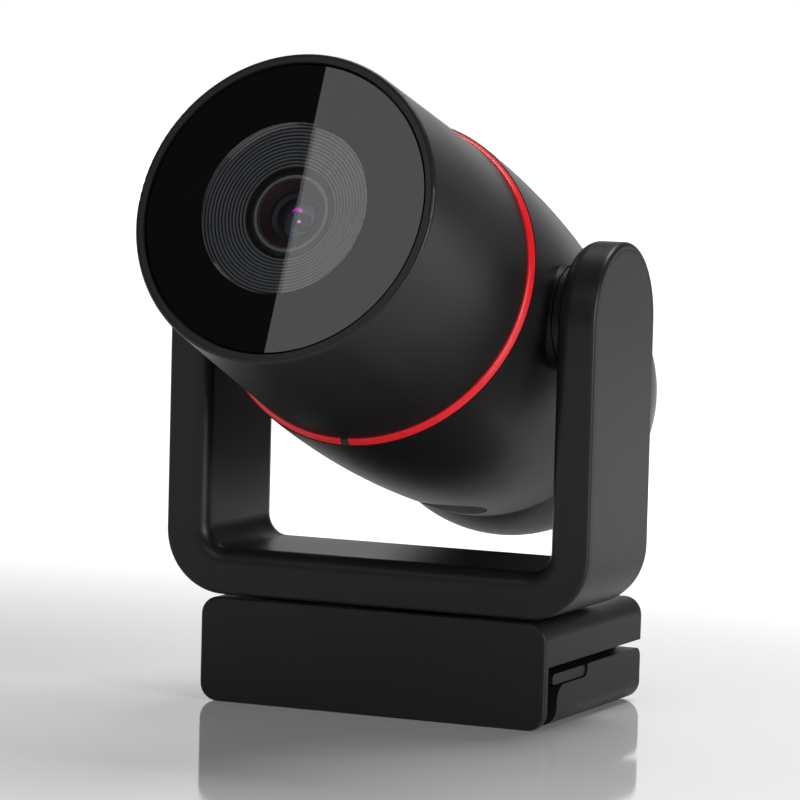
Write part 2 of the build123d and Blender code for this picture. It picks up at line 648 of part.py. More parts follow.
# Outer form of the yoke, before it is split: a small round outside, a large one inside
with BuildPart() as yoke_form:
    with BuildSketch(front_view(YOKE_HALF_DEPTH)):
        add(u_outline(0, 0))
    extrude(amount=2 * YOKE_HALF_DEPTH)
    side_trim(0, YOKE_HALF_DEPTH)
    ends = yoke_form.faces().sort_by(Axis.Y)
    rims = yoke_form.edges().filter_by(GeomType.CIRCLE).filter_by(lambda e: e.radius > YOKE_CORNER + MARGIN)
    faces = ends[0].edges() + ends[-1].edges()
    along = rims + [e for e in faces if abs(e.center().Z - ARM_CENTRE_Z) > MARGIN]
    inner = [e for e in along if abs(e.center().X) < ARM_INNER + MARGIN]
    inside = [e for e in inner if e.center().Z > YOKE_FLOOR - MARGIN]
    outside = [e for e in along if e not in inside]
    fillet(inside, radius=YOKE_INNER_EDGE)
    fillet(outside, radius=YOKE_OUTER_EDGE)

# Room inside the yoke
with BuildPart() as yoke_hollow:
    with BuildSketch(front_view(BACK_WALL_FRONT)):
        add(u_outline(YOKE_SKIN, YOKE_INNER_WALL))
    extrude(amount=2 * BACK_WALL_FRONT)
    side_trim(YOKE_SKIN, BACK_WALL_FRONT)


def rear_room(gap):
    """Space of the rear shell: the outer band under the arched rims, and the back wall."""
    with BuildPart() as room:
        with BuildSketch(front_view(YOKE_HALF_DEPTH + MARGIN)):
            add(u_outline(-MARGIN, YOKE_INNER_WALL + gap))
        extrude(amount=2 * (YOKE_HALF_DEPTH + MARGIN))
        side_trim(YOKE_SKIN + gap, YOKE_HALF_DEPTH + MARGIN)
    with BuildPart() as wall:
        with BuildSketch(front_view(YOKE_HALF_DEPTH + MARGIN)):
            rectangle(-YOKE_HALF_WIDTH - MARGIN, YOKE_HALF_WIDTH + MARGIN, 0, ARM_CENTRE_Z - gap)
        extrude(amount=YOKE_SKIN + MARGIN - gap)
    return room.part + wall.part


# Front shell: the face and rims of the U, its inner walls, bearing bosses and screw posts
YOKE_SCREW_SPOTS = [(-47.1, 46.0), (47.1, 46.0), (-47.1, 70.0), (47.1, 70.0)]
YOKE_POST_RADIUS = 2.2
YOKE_POST_END = BACK_WALL_FRONT - SEAM_GAP
YOKE_SCREW_HEAD = 1.2
YOKE_SCREW_DEPTH = 12.0

with BuildPart() as yoke_front:
    add(yoke_form.part)
    add(yoke_hollow.part, mode=Mode.SUBTRACT)
    add(rear_room(0), mode=Mode.SUBTRACT)
    for side in (-1, 1):
        with BuildSketch(side_view(side * BOSS_END)):
            with Locations(TILT_SPOT):
                Circle(BOSS_RADIUS)
        extrude(amount=side * (ARM_INNER - BOSS_END))
        with BuildSketch(side_view(side * BOSS_END)):
            with Locations(TILT_SPOT):
                Circle(STUB_RADIUS)
        extrude(amount=side * (ARM_INNER - BOSS_END + YOKE_INNER_WALL), mode=Mode.SUBTRACT)
    with BuildSketch(front_view(YOKE_POST_END)):
        with Locations(*YOKE_SCREW_SPOTS):
            Circle(YOKE_POST_RADIUS)
    extrude(amount=YOKE_POST_END - COVER_SEAM)
    with BuildSketch(front_view(YOKE_POST_END)):
        with Locations(*YOKE_SCREW_SPOTS):
            Circle(M2[0])
    extrude(amount=YOKE_SCREW_DEPTH, mode=Mode.SUBTRACT)
save(yoke_front.part, "yoke_front")

# Rear shell: the outer band and the back of the U
BUSH_RADIUS = 8.3
BUSH_FLANGE = 10.5
with BuildPart() as yoke_rear:
    add(yoke_form.part)
    add(rear_room(SEAM_GAP), mode=Mode.INTERSECT)
    add(yoke_hollow.part, mode=Mode.SUBTRACT)
    with BuildSketch(Plane.XY.offset(YOKE_BOTTOM)):
        Circle(BUSH_RADIUS)
    extrude(amount=YOKE_SKIN, mode=Mode.SUBTRACT)
    with BuildSketch(front_view(YOKE_HALF_DEPTH)):
        with Locations(*YOKE_SCREW_SPOTS):
            Circle(M2[1] + 0.1)
    extrude(amount=YOKE_SCREW_HEAD, mode=Mode.SUBTRACT)
    with BuildSketch(front_view(YOKE_HALF_DEPTH)):
        with Locations(*YOKE_SCREW_SPOTS):
            Circle(M2[0])
    extrude(amount=YOKE_SKIN, mode=Mode.SUBTRACT)
save(yoke_rear.part, "yoke_rear")

yoke_screw_plane = front_view(YOKE_HALF_DEPTH - YOKE_SCREW_HEAD)
screws("yoke_screws", yoke_screw_plane, YOKE_SCREW_SPOTS, M2, YOKE_SCREW_HEAD, 10.0)

# Flanged bush between the spindle and the yoke
BUSH_FLANGE_Z = 24.3
BUSH_TOP = 27.9
with BuildPart() as pan_bush:
    with BuildSketch(Plane.XY.offset(BUSH_FLANGE_Z)):
        Circle(BUSH_FLANGE)
    extrude(amount=YOKE_BOTTOM - BUSH_FLANGE_Z)
    with BuildSketch(Plane.XY.offset(YOKE_BOTTOM)):
        Circle(BUSH_RADIUS)
    extrude(amount=BUSH_TOP - YOKE_BOTTOM)
    with BuildSketch(Plane.XY.offset(BUSH_FLANGE_Z)):
        Circle(SPINDLE_RADIUS + RUNNING_FIT)
    extrude(amount=BUSH_TOP - BUSH_FLANGE_Z, mode=Mode.SUBTRACT)
save(pan_bush.part, "pan_bush")

# Folded steel bracket inside the yoke, which joins the pan bush to the tilt stubs
BRACKET_HALF_WIDTH = YOKE_HALF_WIDTH - YOKE_SKIN - SEAM_GAP
BRACKET_BOTTOM = YOKE_BOTTOM + YOKE_SKIN + SEAM_GAP
BRACKET_CORNER = YOKE_CORNER - YOKE_SKIN - SEAM_GAP
BRACKET_HALF_DEPTH = 11.0
BRACKET_TOP = 101.0
PAN_MESH = PAN_MODULE * (PAN_GEAR_TEETH + PINION_TEETH) / 2 + MESH_PLAY
PAN_MOTOR_RADIUS = 7.4
STUB_BORE = 3.6

with BuildPart() as yoke_bracket:
    with BuildSketch(front_view(BRACKET_HALF_DEPTH)) as strip:
        rectangle(-BRACKET_HALF_WIDTH, BRACKET_HALF_WIDTH, BRACKET_BOTTOM, BRACKET_TOP)
        fillet(strip.vertices().group_by(Axis.Y)[0], radius=BRACKET_CORNER)
        offset(amount=-BRACKET_THICKNESS, mode=Mode.SUBTRACT)
        rectangle(-BRACKET_HALF_WIDTH + BRACKET_THICKNESS, BRACKET_HALF_WIDTH - BRACKET_THICKNESS,
                  BRACKET_TOP - 2 * BRACKET_THICKNESS, BRACKET_TOP, mode=Mode.SUBTRACT)
    extrude(amount=2 * BRACKET_HALF_DEPTH)
    with BuildSketch(Plane.XY.offset(BRACKET_BOTTOM)):
        Circle(BUSH_RADIUS)
        with Locations((PAN_MESH, 0)):
            Circle(PAN_MOTOR_RADIUS + SEAM_GAP)
    extrude(amount=BRACKET_THICKNESS, mode=Mode.SUBTRACT)
    with BuildSketch(side_view(-YOKE_HALF_WIDTH)):
        with Locations(TILT_SPOT):
            Circle(STUB_BORE)
    extrude(amount=2 * YOKE_HALF_WIDTH, mode=Mode.SUBTRACT)
save(yoke_bracket.part, "yoke_bracket")

# Flat stepper motor beside the spindle, with two ears on the bracket
PAN_MOTOR_TOP = 30.35
MOTOR_SHAFT_RADIUS = 0.75
MOTOR_SHAFT_DEPTH = 1.0
EAR_THICKNESS = 0.8
EAR_SIZE = (21.0, 4.5)
with BuildPart() as pan_motor:
    with BuildSketch(Plane.XY.offset(BRACKET_BOTTOM)):
        with Locations((PAN_MESH, 0)):
            Circle(PAN_MOTOR_RADIUS)
    extrude(amount=PAN_MOTOR_TOP - BRACKET_BOTTOM)
    with BuildSketch(Plane.XY.offset(BRACKET_BOTTOM + BRACKET_THICKNESS)):
        with Locations((PAN_MESH, 0)):
            SlotOverall(*EAR_SIZE, rotation=90)
    extrude(amount=EAR_THICKNESS)
    with BuildSketch(Plane.XY.offset(PAN_MOTOR_TOP - MOTOR_SHAFT_DEPTH)):
        with Locations((PAN_MESH, 0)):
            Circle(MOTOR_SHAFT_RADIUS + RUNNING_FIT)
    extrude(amount=MOTOR_SHAFT_DEPTH, mode=Mode.SUBTRACT)
save(pan_motor.part, "pan_motor")

# Motor pinion and its shaft; a tooth gap faces the sun gear
HALF_TOOTH = pi / PINION_TEETH
with BuildPart() as pan_pinion:
    with BuildSketch(Plane.XY.offset(PAN_GEAR_Z)):
        gear_sketch(PINION_TEETH, PAN_MODULE, HALF_TOOTH, PAN_MESH, 0)
    extrude(amount=PAN_GEAR_THICKNESS)
    with BuildSketch(Plane.XY.offset(PAN_MOTOR_TOP - MOTOR_SHAFT_DEPTH + 0.1)):
        with Locations((PAN_MESH, 0)):
            Circle(MOTOR_SHAFT_RADIUS)
    extrude(amount=PAN_GEAR_Z - PAN_MOTOR_TOP + MOTOR_SHAFT_DEPTH - 0.1)
save(pan_pinion.part, "pan_pinion")

# Hollow stubs that carry the head: a flange on the bracket, a journal into the head
STUB_FLANGE = 9.0
STUB_FLANGE_THICKNESS = 2.0
STUB_OUTER = BRACKET_HALF_WIDTH - BRACKET_THICKNESS
STUB_INNER = {1: 28.6, -1: 32.0}


def tilt_stub(side):
    """Stub on one side: right is 1, left is -1."""
    with BuildPart() as stub:
        with BuildSketch(side_view(side * STUB_OUTER)):
            with Locations(TILT_SPOT):
                Circle(STUB_FLANGE)
        extrude(amount=-side * STUB_FLANGE_THICKNESS)
        with BuildSketch(side_view(side * STUB_OUTER)):
            with Locations(TILT_SPOT):
                Circle(STUB_RADIUS)
        extrude(amount=-side * (STUB_OUTER - STUB_INNER[side]))
        with BuildSketch(side_view(side * STUB_OUTER)):
            with Locations(TILT_SPOT):
                Circle(STUB_BORE)
        extrude(amount=-side * (STUB_OUTER - STUB_INNER[side]), mode=Mode.SUBTRACT)
    return stub.part


save(tilt_stub(1), "tilt_stub_right")
save(tilt_stub(-1), "tilt_stub_left")

# Fixed tilt gear on the right stub, inside the head. The motor sits up and behind.
TILT_GEAR_X = 29.4
TILT_GEAR_THICKNESS = 2.4
TILT_MESH = TILT_MODULE * (TILT_GEAR_TEETH + PINION_TEETH) / 2 + MESH_PLAY
MESH_DIRECTION = (UPWARD - FORWARD).normalized()


def mesh_view(x):
    """Plane facing right at x, centred on the tilt axis, with local X to the tilt motor."""
    return Plane(origin=(x, 0, TILT_HEIGHT), x_dir=MESH_DIRECTION, z_dir=(1, 0, 0))


with BuildPart() as tilt_gear:
    with BuildSketch(mesh_view(TILT_GEAR_X)):
        gear_sketch(TILT_GEAR_TEETH, TILT_MODULE, 0.0, 0.0, STUB_RADIUS)
    extrude(amount=TILT_GEAR_THICKNESS)
save(tilt_gear.part, "tilt_gear")

# ============================================================================== head

PILLAR_RADIUS = 3.4
PILLAR_SCREW_DEPTH = 10.0
RIM_ROUNDING = 0.9
BARREL_EDGE = 0.35
SPIGOT_BACK = 17.6
SPIGOT_RADIUS = 34.7
SPIGOT_WALL = 2.0
BARREL_BACK = RING_FRONT_STATION + SPLIT_GAP
GLASS_BACK = GLASS_STATION - GLASS_THICKNESS
PILLAR_PITCH = 30.2
PILLAR_FRONT = 34.0
PILLAR_SPOTS = [(sx * PILLAR_PITCH * cos(pi / 4), sy * PILLAR_PITCH * sin(pi / 4))
                for sx in (-1, 1) for sy in (-1, 1)]
BARREL_INNER_FRONT = GLASS_RADIUS - 0.6
CHASSIS_FRONT = 17.5
CHASSIS_THICKNESS = 2.0


def revolved(*points):
    """Solid of revolution about the head's axis, from (station, radius) points."""
    with BuildPart() as body:
        with BuildSketch(HEAD_PROFILE) as section:
            ring_profile(*points)
        revolve(section.sketch, axis=HEAD_AXIS)
    return body.part


# Front barrel: cone, rounded rim, seat for the glass, and a spigot that goes through the
# red ring into the rear shell
with BuildPart() as front_barrel:
    with BuildSketch(HEAD_PROFILE) as barrel_section:
        ring_profile(
            (BARREL_BACK, SPIGOT_RADIUS - SPIGOT_WALL),
            (SPIGOT_BACK, SPIGOT_RADIUS - SPIGOT_WALL),
            (SPIGOT_BACK, SPIGOT_RADIUS),
            (BARREL_BACK, SPIGOT_RADIUS),
            (BARREL_BACK, barrel_radius(BARREL_BACK)),
            (RIM_STATION, RIM_RADIUS),
            (RIM_STATION, GLASS_RADIUS + 0.2),
            (GLASS_BACK - 0.1, GLASS_RADIUS + 0.2),
            (GLASS_BACK - 0.1, BARREL_INNER_FRONT),
            (GLASS_BACK - 3.0, BARREL_INNER_FRONT),
        )
        rim_corners = barrel_section.vertices().group_by(Axis.X)[-1]
        fillet(rim_corners.sort_by(Axis.Y)[-1], radius=RIM_ROUNDING)
        fillet(barrel_section.vertices().sort_by(Axis.Y)[-1], radius=BARREL_EDGE)
    revolve(axis=HEAD_AXIS)
    with BuildSketch(HEAD.offset(CHASSIS_FRONT)):
        with Locations(*PILLAR_SPOTS):
            Circle(PILLAR_RADIUS)
    extrude(amount=PILLAR_FRONT - CHASSIS_FRONT)
    with BuildSketch(HEAD.offset(CHASSIS_FRONT)):
        with Locations(*PILLAR_SPOTS):
            Circle(M25[0])
    extrude(amount=PILLAR_SCREW_DEPTH, mode=Mode.SUBTRACT)
    with BuildSketch(HEAD.offset(CHASSIS_FRONT)):
        Circle(SPIGOT_RADIUS + 5)
        Circle(SPIGOT_RADIUS, mode=Mode.SUBTRACT)
    extrude(amount=RING_FRONT_STATION - CHASSIS_FRONT, mode=Mode.SUBTRACT)
save(front_barrel.part, "front_barrel")

# Red ring between the barrels, open at the bottom where the locating key sits
KEY_HALF_WIDTH = 0.85
KEY_SLOT_HALF_WIDTH = 1.0
ring_points = [
    (RING_BACK_STATION, SPIGOT_RADIUS + 0.05),
    (RING_BACK_STATION, RING_BACK_RADIUS),
    (RING_FRONT_STATION, RING_FRONT_RADIUS),
    (RING_FRONT_STATION, SPIGOT_RADIUS + 0.05),
]

with BuildPart() as red_ring:
    with BuildSketch(HEAD_PROFILE):
        ring_profile(*ring_points)
    revolve(axis=HEAD_AXIS)
    with BuildSketch(HEAD.offset(RING_BACK_STATION - 1)):
        rectangle(-KEY_SLOT_HALF_WIDTH, KEY_SLOT_HALF_WIDTH, -RING_BACK_RADIUS - 1, 0)
    extrude(amount=4, mode=Mode.SUBTRACT)
save(red_ring.part, "red_ring")

with BuildPart() as ring_key:
    with BuildSketch(HEAD_PROFILE):
        ring_profile(*ring_points)
    revolve(axis=HEAD_AXIS)
    with BuildSketch(HEAD.offset(RING_BACK_STATION - 1)):
        rectangle(-KEY_HALF_WIDTH, KEY_HALF_WIDTH, -RING_BACK_RADIUS - 1, 0)
    extrude(amount=4, mode=Mode.INTERSECT)
save(ring_key.part, "ring_key")

# Rear shell: an arc-shaped barrel with a flat land for each bearing
SHELL_FRONT = RING_BACK_STATION - SPLIT_GAP
SHELL_BACK = SHELL_BACK_STATION + SPLIT_GAP
SHELL_MIDDLE = (SHELL_FRONT + SHELL_BACK) / 2
LEDGE_BACK = 12.0
LEDGE_FRONT = CHASSIS_FRONT - CHASSIS_THICKNESS
LEDGE_RADIUS = 33.6
LAND_RADIUS = 12.2
LAND_END = 39.5
LAND_ROOT = 33.6
HEAD_BUSH_RADIUS = 7.5
PLUG_STATION = -42.0
PLUG_RADIUS = 7.5
PLUG_PLAY = 0.3
PLUG_THICKNESS = 0.6
RECESS_CUT = 5.0
RECESS_FLOOR = 34.3

with BuildPart() as rear_shell:
    with BuildSketch(HEAD_PROFILE):
        with BuildLine():
            outer = ThreePointArc(
                (SHELL_FRONT, shell_radius(SHELL_FRONT)),
                (SHELL_MIDDLE, shell_radius(SHELL_MIDDLE)),
                (SHELL_BACK, shell_radius(SHELL_BACK)),
            )
            inner = ThreePointArc(
                (SHELL_FRONT, shell_radius(SHELL_FRONT) - HEAD_WALL),
                (SHELL_MIDDLE, shell_radius(SHELL_MIDDLE) - HEAD_WALL),
                (SHELL_BACK, shell_radius(SHELL_BACK) - HEAD_WALL),
            )
            Line(outer @ 0, inner @ 0)
            Line(outer @ 1, inner @ 1)
        make_face()
    revolve(axis=HEAD_AXIS)
    # Ledge that the chassis rests on
    with BuildSketch(HEAD_PROFILE):
        ring_profile(
            (LEDGE_BACK, LEDGE_RADIUS),
            (LEDGE_BACK, shell_radius(LEDGE_BACK) - HEAD_WALL / 2),
            (LEDGE_FRONT, shell_radius(LEDGE_FRONT) - HEAD_WALL / 2),
            (LEDGE_FRONT, LEDGE_RADIUS),
        )
    revolve(axis=HEAD_AXIS)
    for side in (-1, 1):
        with BuildSketch(side_view(side * LAND_ROOT)):
            with Locations(TILT_SPOT):
                Circle(LAND_RADIUS)
        extrude(amount=side * (LAND_END - LAND_ROOT))
        with BuildSketch(side_view(side * LAND_ROOT)):
            with Locations(TILT_SPOT):
                Circle(HEAD_BUSH_RADIUS)
        extrude(amount=side * (LAND_END - LAND_ROOT), mode=Mode.SUBTRACT)
    # Round recess below, for the service plug
    with BuildSketch(Plane(origin=TILT_POINT + FORWARD * PLUG_STATION - UPWARD * RECESS_FLOOR,
                           x_dir=(1, 0, 0), z_dir=-UPWARD)):
        Circle(PLUG_RADIUS + PLUG_PLAY)
    extrude(amount=RECESS_CUT, mode=Mode.SUBTRACT)
save(rear_shell.part, "rear_shell")

with BuildPart() as service_plug:
    with BuildSketch(Plane(origin=TILT_POINT + FORWARD * PLUG_STATION - UPWARD * RECESS_FLOOR,
                           x_dir=(1, 0, 0), z_dir=-UPWARD)):
        Circle(PLUG_RADIUS)
    extrude(amount=PLUG_THICKNESS)
save(service_plug.part, "service_plug")

# Tail cap: a spherical end with a spigot into the rear shell
SPIGOT_WALL = 1.5
TAIL_FRONT = SHELL_BACK_STATION - SPLIT_GAP
TAIL_SPIGOT_FRONT = -50.0
TAIL_SPIGOT_RADIUS = shell_radius(SHELL_BACK) - HEAD_WALL - 0.1
TAIL_INNER = TAIL_RADIUS - HEAD_WALL


def sphere_radius(station, sphere):
    """Radius, at a station, of a sphere about the tail's centre."""
    return sqrt(sphere**2 - (station - TAIL_CENTRE)**2)


with BuildPart() as tail_cap:
    with BuildSketch(HEAD_PROFILE):
        with BuildLine():
            tail_outer = RadiusArc(
                (TAIL_FRONT, sphere_radius(TAIL_FRONT, TAIL_RADIUS)),
                (TAIL_CENTRE - TAIL_RADIUS, 0),
                -TAIL_RADIUS,
            )
            tail_inner = RadiusArc(
                (TAIL_FRONT, sphere_radius(TAIL_FRONT, TAIL_INNER)),
                (TAIL_CENTRE - TAIL_INNER, 0),
                -TAIL_INNER,
            )
            Line(tail_outer @ 0, tail_inner @ 0)
            Line(tail_outer @ 1, tail_inner @ 1)
        make_face()
    revolve(axis=HEAD_AXIS)
    with BuildSketch(HEAD_PROFILE):
        ring_profile(
            (TAIL_FRONT - HEAD_WALL, TAIL_SPIGOT_RADIUS - SPIGOT_WALL),
            (TAIL_FRONT - HEAD_WALL, sphere_radius(TAIL_FRONT, TAIL_RADIUS) - 0.5),
            (TAIL_FRONT, sphere_radius(TAIL_FRONT, TAIL_RADIUS) - 0.5),
            (TAIL_FRONT, TAIL_SPIGOT_RADIUS),
            (TAIL_SPIGOT_FRONT, TAIL_SPIGOT_RADIUS),
            (TAIL_SPIGOT_FRONT, TAIL_SPIGOT_RADIUS - SPIGOT_WALL),
        )
    revolve(axis=HEAD_AXIS)
save(tail_cap.part, "tail_cap")

# Chassis disc across the head, screwed to the pillars of the front barrel
CHASSIS_RADIUS = 35.9
CABLE_WINDOW = (22.0, 16.0)
STANDOFF_SPOTS = [(-14.0, -14.0), (14.0, -14.0), (-14.0, 14.0), (14.0, 14.0)]
STANDOFF_RADIUS = 2.2
SENSOR_BOARD_BACK = 42.6
SENSOR_BOARD_THICKNESS = 1.2
SENSOR_BOARD_SIZE = 34.0

with BuildPart() as chassis:
    with BuildSketch(HEAD.offset(LEDGE_FRONT)):
        Circle(CHASSIS_RADIUS)
        Rectangle(*CABLE_WINDOW, mode=Mode.SUBTRACT)
        with Locations(*PILLAR_SPOTS):
            Circle(M25[0], mode=Mode.SUBTRACT)
        with Locations(*STANDOFF_SPOTS):
            Circle(M2[0], mode=Mode.SUBTRACT)
    extrude(amount=CHASSIS_THICKNESS)
save(chassis.part, "chassis")

screws("chassis_screws", HEAD.offset(LEDGE_FRONT), PILLAR_SPOTS, M25, 1.6, PILLAR_SCREW_DEPTH)

with BuildPart() as standoffs:
    with BuildSketch(HEAD.offset(CHASSIS_FRONT)):
        with Locations(*STANDOFF_SPOTS):
            RegularPolygon(STANDOFF_RADIUS, 6)
    extrude(amount=SENSOR_BOARD_BACK - CHASSIS_FRONT)
    with BuildSketch(HEAD.offset(LEDGE_FRONT)):
        with Locations(*STANDOFF_SPOTS):
            Circle(M2[0])
    extrude(amount=CHASSIS_THICKNESS)
save(standoffs.part, "standoffs")

# ---------------------------------------------------------------- lens and its trim

SENSOR_BOARD_FRONT = SENSOR_BOARD_BACK + SENSOR_BOARD_THICKNESS
with BuildPart() as sensor_board:
    with BuildSketch(HEAD.offset(SENSOR_BOARD_BACK)):
        RectangleRounded(SENSOR_BOARD_SIZE, SENSOR_BOARD_SIZE, 2.0)
    extrude(amount=SENSOR_BOARD_THICKNESS)
save(sensor_board.part, "sensor_board")

SENSOR_SIZE = (9.0, 7.0)
SENSOR_HEIGHT = 0.9
with BuildPart() as image_sensor:
    with BuildSketch(HEAD.offset(SENSOR_BOARD_FRONT)):
        Rectangle(*SENSOR_SIZE)
    extrude(amount=SENSOR_HEIGHT)
save(image_sensor.part, "image_sensor")

LENS_MOUNT_FRONT = 56.0
LENS_RADIUS = 9.0
LENS_BACK = 50.0
LENS_FRONT = 66.4
LENS_BORE = 4.4
HOOD_RADIUS = 7.95
HOOD_BACK = 63.8
HOOD_FRONT = 68.1
HOOD_MOUTH = 7.6
HOOD_THROAT = 5.6
BEZEL_RADIUS = 9.6
BEZEL_STEP = 0.3

MOUNT_FOOT = 22.0
MOUNT_FOOT_HEIGHT = 6.0
MOUNT_WALL = 1.8
MOUNT_BORE = 6.0

with BuildPart() as lens_mount:
    with BuildSketch(HEAD.offset(SENSOR_BOARD_FRONT)):
        RectangleRounded(MOUNT_FOOT, MOUNT_FOOT, 2.0)
    extrude(amount=MOUNT_FOOT_HEIGHT)
    with BuildSketch(HEAD.offset(SENSOR_BOARD_FRONT)):
        Circle(LENS_RADIUS + MOUNT_WALL)
    extrude(amount=LENS_MOUNT_FRONT - SENSOR_BOARD_FRONT)
    with BuildSketch(HEAD.offset(SENSOR_BOARD_FRONT)):
        Circle(MOUNT_BORE)
    extrude(amount=LENS_BACK - SENSOR_BOARD_FRONT, mode=Mode.SUBTRACT)
    with BuildSketch(HEAD.offset(LENS_BACK)):
        Circle(LENS_RADIUS)
    extrude(amount=LENS_MOUNT_FRONT - LENS_BACK, mode=Mode.SUBTRACT)
save(lens_mount.part, "lens_mount")

lens_barrel = revolved(
    (LENS_BACK, LENS_BORE),
    (LENS_BACK, LENS_RADIUS),
    (LENS_FRONT, LENS_RADIUS),
    (LENS_FRONT, HOOD_RADIUS + 0.05),
    (HOOD_BACK, HOOD_RADIUS + 0.05),
    (HOOD_BACK, LENS_BORE),
)
save(lens_barrel, "lens_barrel")

lens_hood = revolved(
    (HOOD_BACK, LENS_BORE),
    (HOOD_BACK, HOOD_RADIUS),
    (HOOD_FRONT, HOOD_RADIUS),
    (HOOD_FRONT, HOOD_MOUTH),
    (HOOD_FRONT - 1.6, HOOD_THROAT),
    (HOOD_FRONT - 2.1, HOOD_THROAT - 0.1),
    (HOOD_FRONT - 2.4, LENS_BORE),
)
save(lens_hood, "lens_hood")

lens_bezel = revolved(
    (LENS_FRONT + 0.1, HOOD_RADIUS + 0.1),
    (LENS_FRONT + 0.1, BEZEL_RADIUS),
    (HOOD_FRONT - 0.2, BEZEL_RADIUS),
    (HOOD_FRONT + 0.1, BEZEL_RADIUS - 0.5),
    (HOOD_FRONT + BEZEL_STEP, BEZEL_RADIUS - 0.9),
    (HOOD_FRONT + BEZEL_STEP, HOOD_RADIUS + 0.1),
)
save(lens_bezel, "lens_bezel")


def lens_element(label, back, edge, front_bulge, back_bulge):
    """Lens with two domed faces: back is the rim's back station, edge its width."""
    rim = LENS_BORE - 0.05
    with BuildPart() as element:
        with BuildSketch(HEAD_PROFILE) as section:
            with BuildLine() as outline:
                back_line = Line((back, rim), (back + edge, rim))
                front_arc = RadiusArc((back + edge, rim), (back + edge + front_bulge, 0),
                                      (rim**2 + front_bulge**2) / (2 * front_bulge))
                Line(front_arc @ 1, (back - back_bulge, 0))
                RadiusArc((back - back_bulge, 0), back_line @ 0,
                          (rim**2 + back_bulge**2) / (2 * back_bulge))
            make_face(outline.edges())
        revolve(section.sketch, axis=HEAD_AXIS)
    save(element.part, label)


lens_element("front_lens", 64.1, 0.6, 0.8, 0.2)
lens_element("inner_lens", 57.0, 1.2, 0.6, 0.6)

IRIS_STATION = 61.5
IRIS_RADIUS = 2.1
IRIS_THICKNESS = 0.4
with BuildPart() as iris:
    with BuildSketch(HEAD.offset(IRIS_STATION)):
        Circle(LENS_BORE)
        Circle(IRIS_RADIUS, mode=Mode.SUBTRACT)
    extrude(amount=IRIS_THICKNESS)
save(iris.part, "iris")

# Ribbed funnel between the window and the lens: flange, then a stair of fine ribs
BAFFLE_FLANGE_FRONT = GLASS_BACK - 0.2
BAFFLE_FLANGE_BACK = BAFFLE_FLANGE_FRONT - 1.2
BAFFLE_FLANGE_RADIUS = 31.6
BAFFLE_THROAT = 10.3
BAFFLE_THROAT_STATION = 68.6
RIB_COUNT = 12
RIB_HEIGHT = 0.35
CREST_START = 0.35
CREST_END = 0.65
FUNNEL_WALL = 1.2
FUNNEL_SKIRT = LENS_MOUNT_FRONT + 4.0
baffle_points = [
    (BAFFLE_FLANGE_BACK, BAFFLE_FLANGE_RADIUS),
    (BAFFLE_FLANGE_FRONT, BAFFLE_FLANGE_RADIUS),
    (BAFFLE_FLANGE_FRONT, WINDOW_RADIUS + 0.3),
]
rib_run = (WINDOW_RADIUS - BAFFLE_THROAT) / RIB_COUNT
rib_drop = (BAFFLE_FLANGE_FRONT - RIB_HEIGHT - BAFFLE_THROAT_STATION) / RIB_COUNT
for rib in range(RIB_COUNT):
    crest = WINDOW_RADIUS - rib * rib_run
    level = BAFFLE_FLANGE_FRONT - rib * rib_drop
    baffle_points.append((level - RIB_HEIGHT, crest))
    baffle_points.append((level, crest - CREST_START * rib_run))
    baffle_points.append((level, crest - CREST_END * rib_run))
baffle_points += [
    (BAFFLE_THROAT_STATION, BAFFLE_THROAT),
    (FUNNEL_SKIRT, BAFFLE_THROAT),
    (FUNNEL_SKIRT, BAFFLE_THROAT + FUNNEL_WALL),
    (BAFFLE_THROAT_STATION - 1.6, BAFFLE_THROAT + FUNNEL_WALL),
    (BAFFLE_FLANGE_BACK - 0.4, WINDOW_RADIUS + 0.3),
]
lens_baffle = revolved(*baffle_points)
save(lens_baffle, "lens_baffle")

# Window glass with a small chamfer round its front edge
GLASS_PLAY = 0.15
GLASS_CHAMFER = 0.25
with BuildPart() as front_glass:
    with BuildSketch(HEAD.offset(GLASS_BACK)):
        Circle(GLASS_RADIUS - GLASS_PLAY)
    extrude(amount=GLASS_THICKNESS)
    chamfer(front_glass.faces().sort_by(HEAD_AXIS)[-1].edges(), length=GLASS_CHAMFER)
save(front_glass.part, "front_glass")

# ------------------------------------------------------------- boards and tilt drive

MAIN_BOARD_STATION = -27.0
MAIN_BOARD_THICKNESS = 1.4
MAIN_BOARD_BACK = MAIN_BOARD_STATION - MAIN_BOARD_THICKNESS
PROCESSOR_THICKNESS = 1.5
HEAT_SINK_BASE = 2.0
HEAT_SINK_FIN = 7.0
FIN_COUNT = 9
FIN_PITCH = 3.6
BOARD_POST_SPOTS = [(-21.0, -14.0), (21.0, -14.0), (-21.0, 14.0), (7.5, 18.0)]
BOARD_POST_RADIUS = 2.0

with BuildPart() as main_board:
    with BuildSketch(HEAD.offset(MAIN_BOARD_BACK)):
        RectangleRounded(48.0, 44.0, 3.0)
    extrude(amount=MAIN_BOARD_THICKNESS)
    with BuildSketch(HEAD.offset(MAIN_BOARD_STATION)):
        rectangle(-18.0, -8.0, -16.0, -10.0)
        rectangle(-18.0, -6.0, 8.0, 18.0)
        rectangle(6.0, 18.0, -16.0, -12.0)
    extrude(amount=1.1)
save(main_board.part, "main_board")

PROCESSOR_SIZE = 15.0
with BuildPart() as processor:
    with BuildSketch(HEAD.offset(MAIN_BOARD_BACK - PROCESSOR_THICKNESS)):
        Rectangle(PROCESSOR_SIZE, PROCESSOR_SIZE)
    extrude(amount=PROCESSOR_THICKNESS)
save(processor.part, "processor")

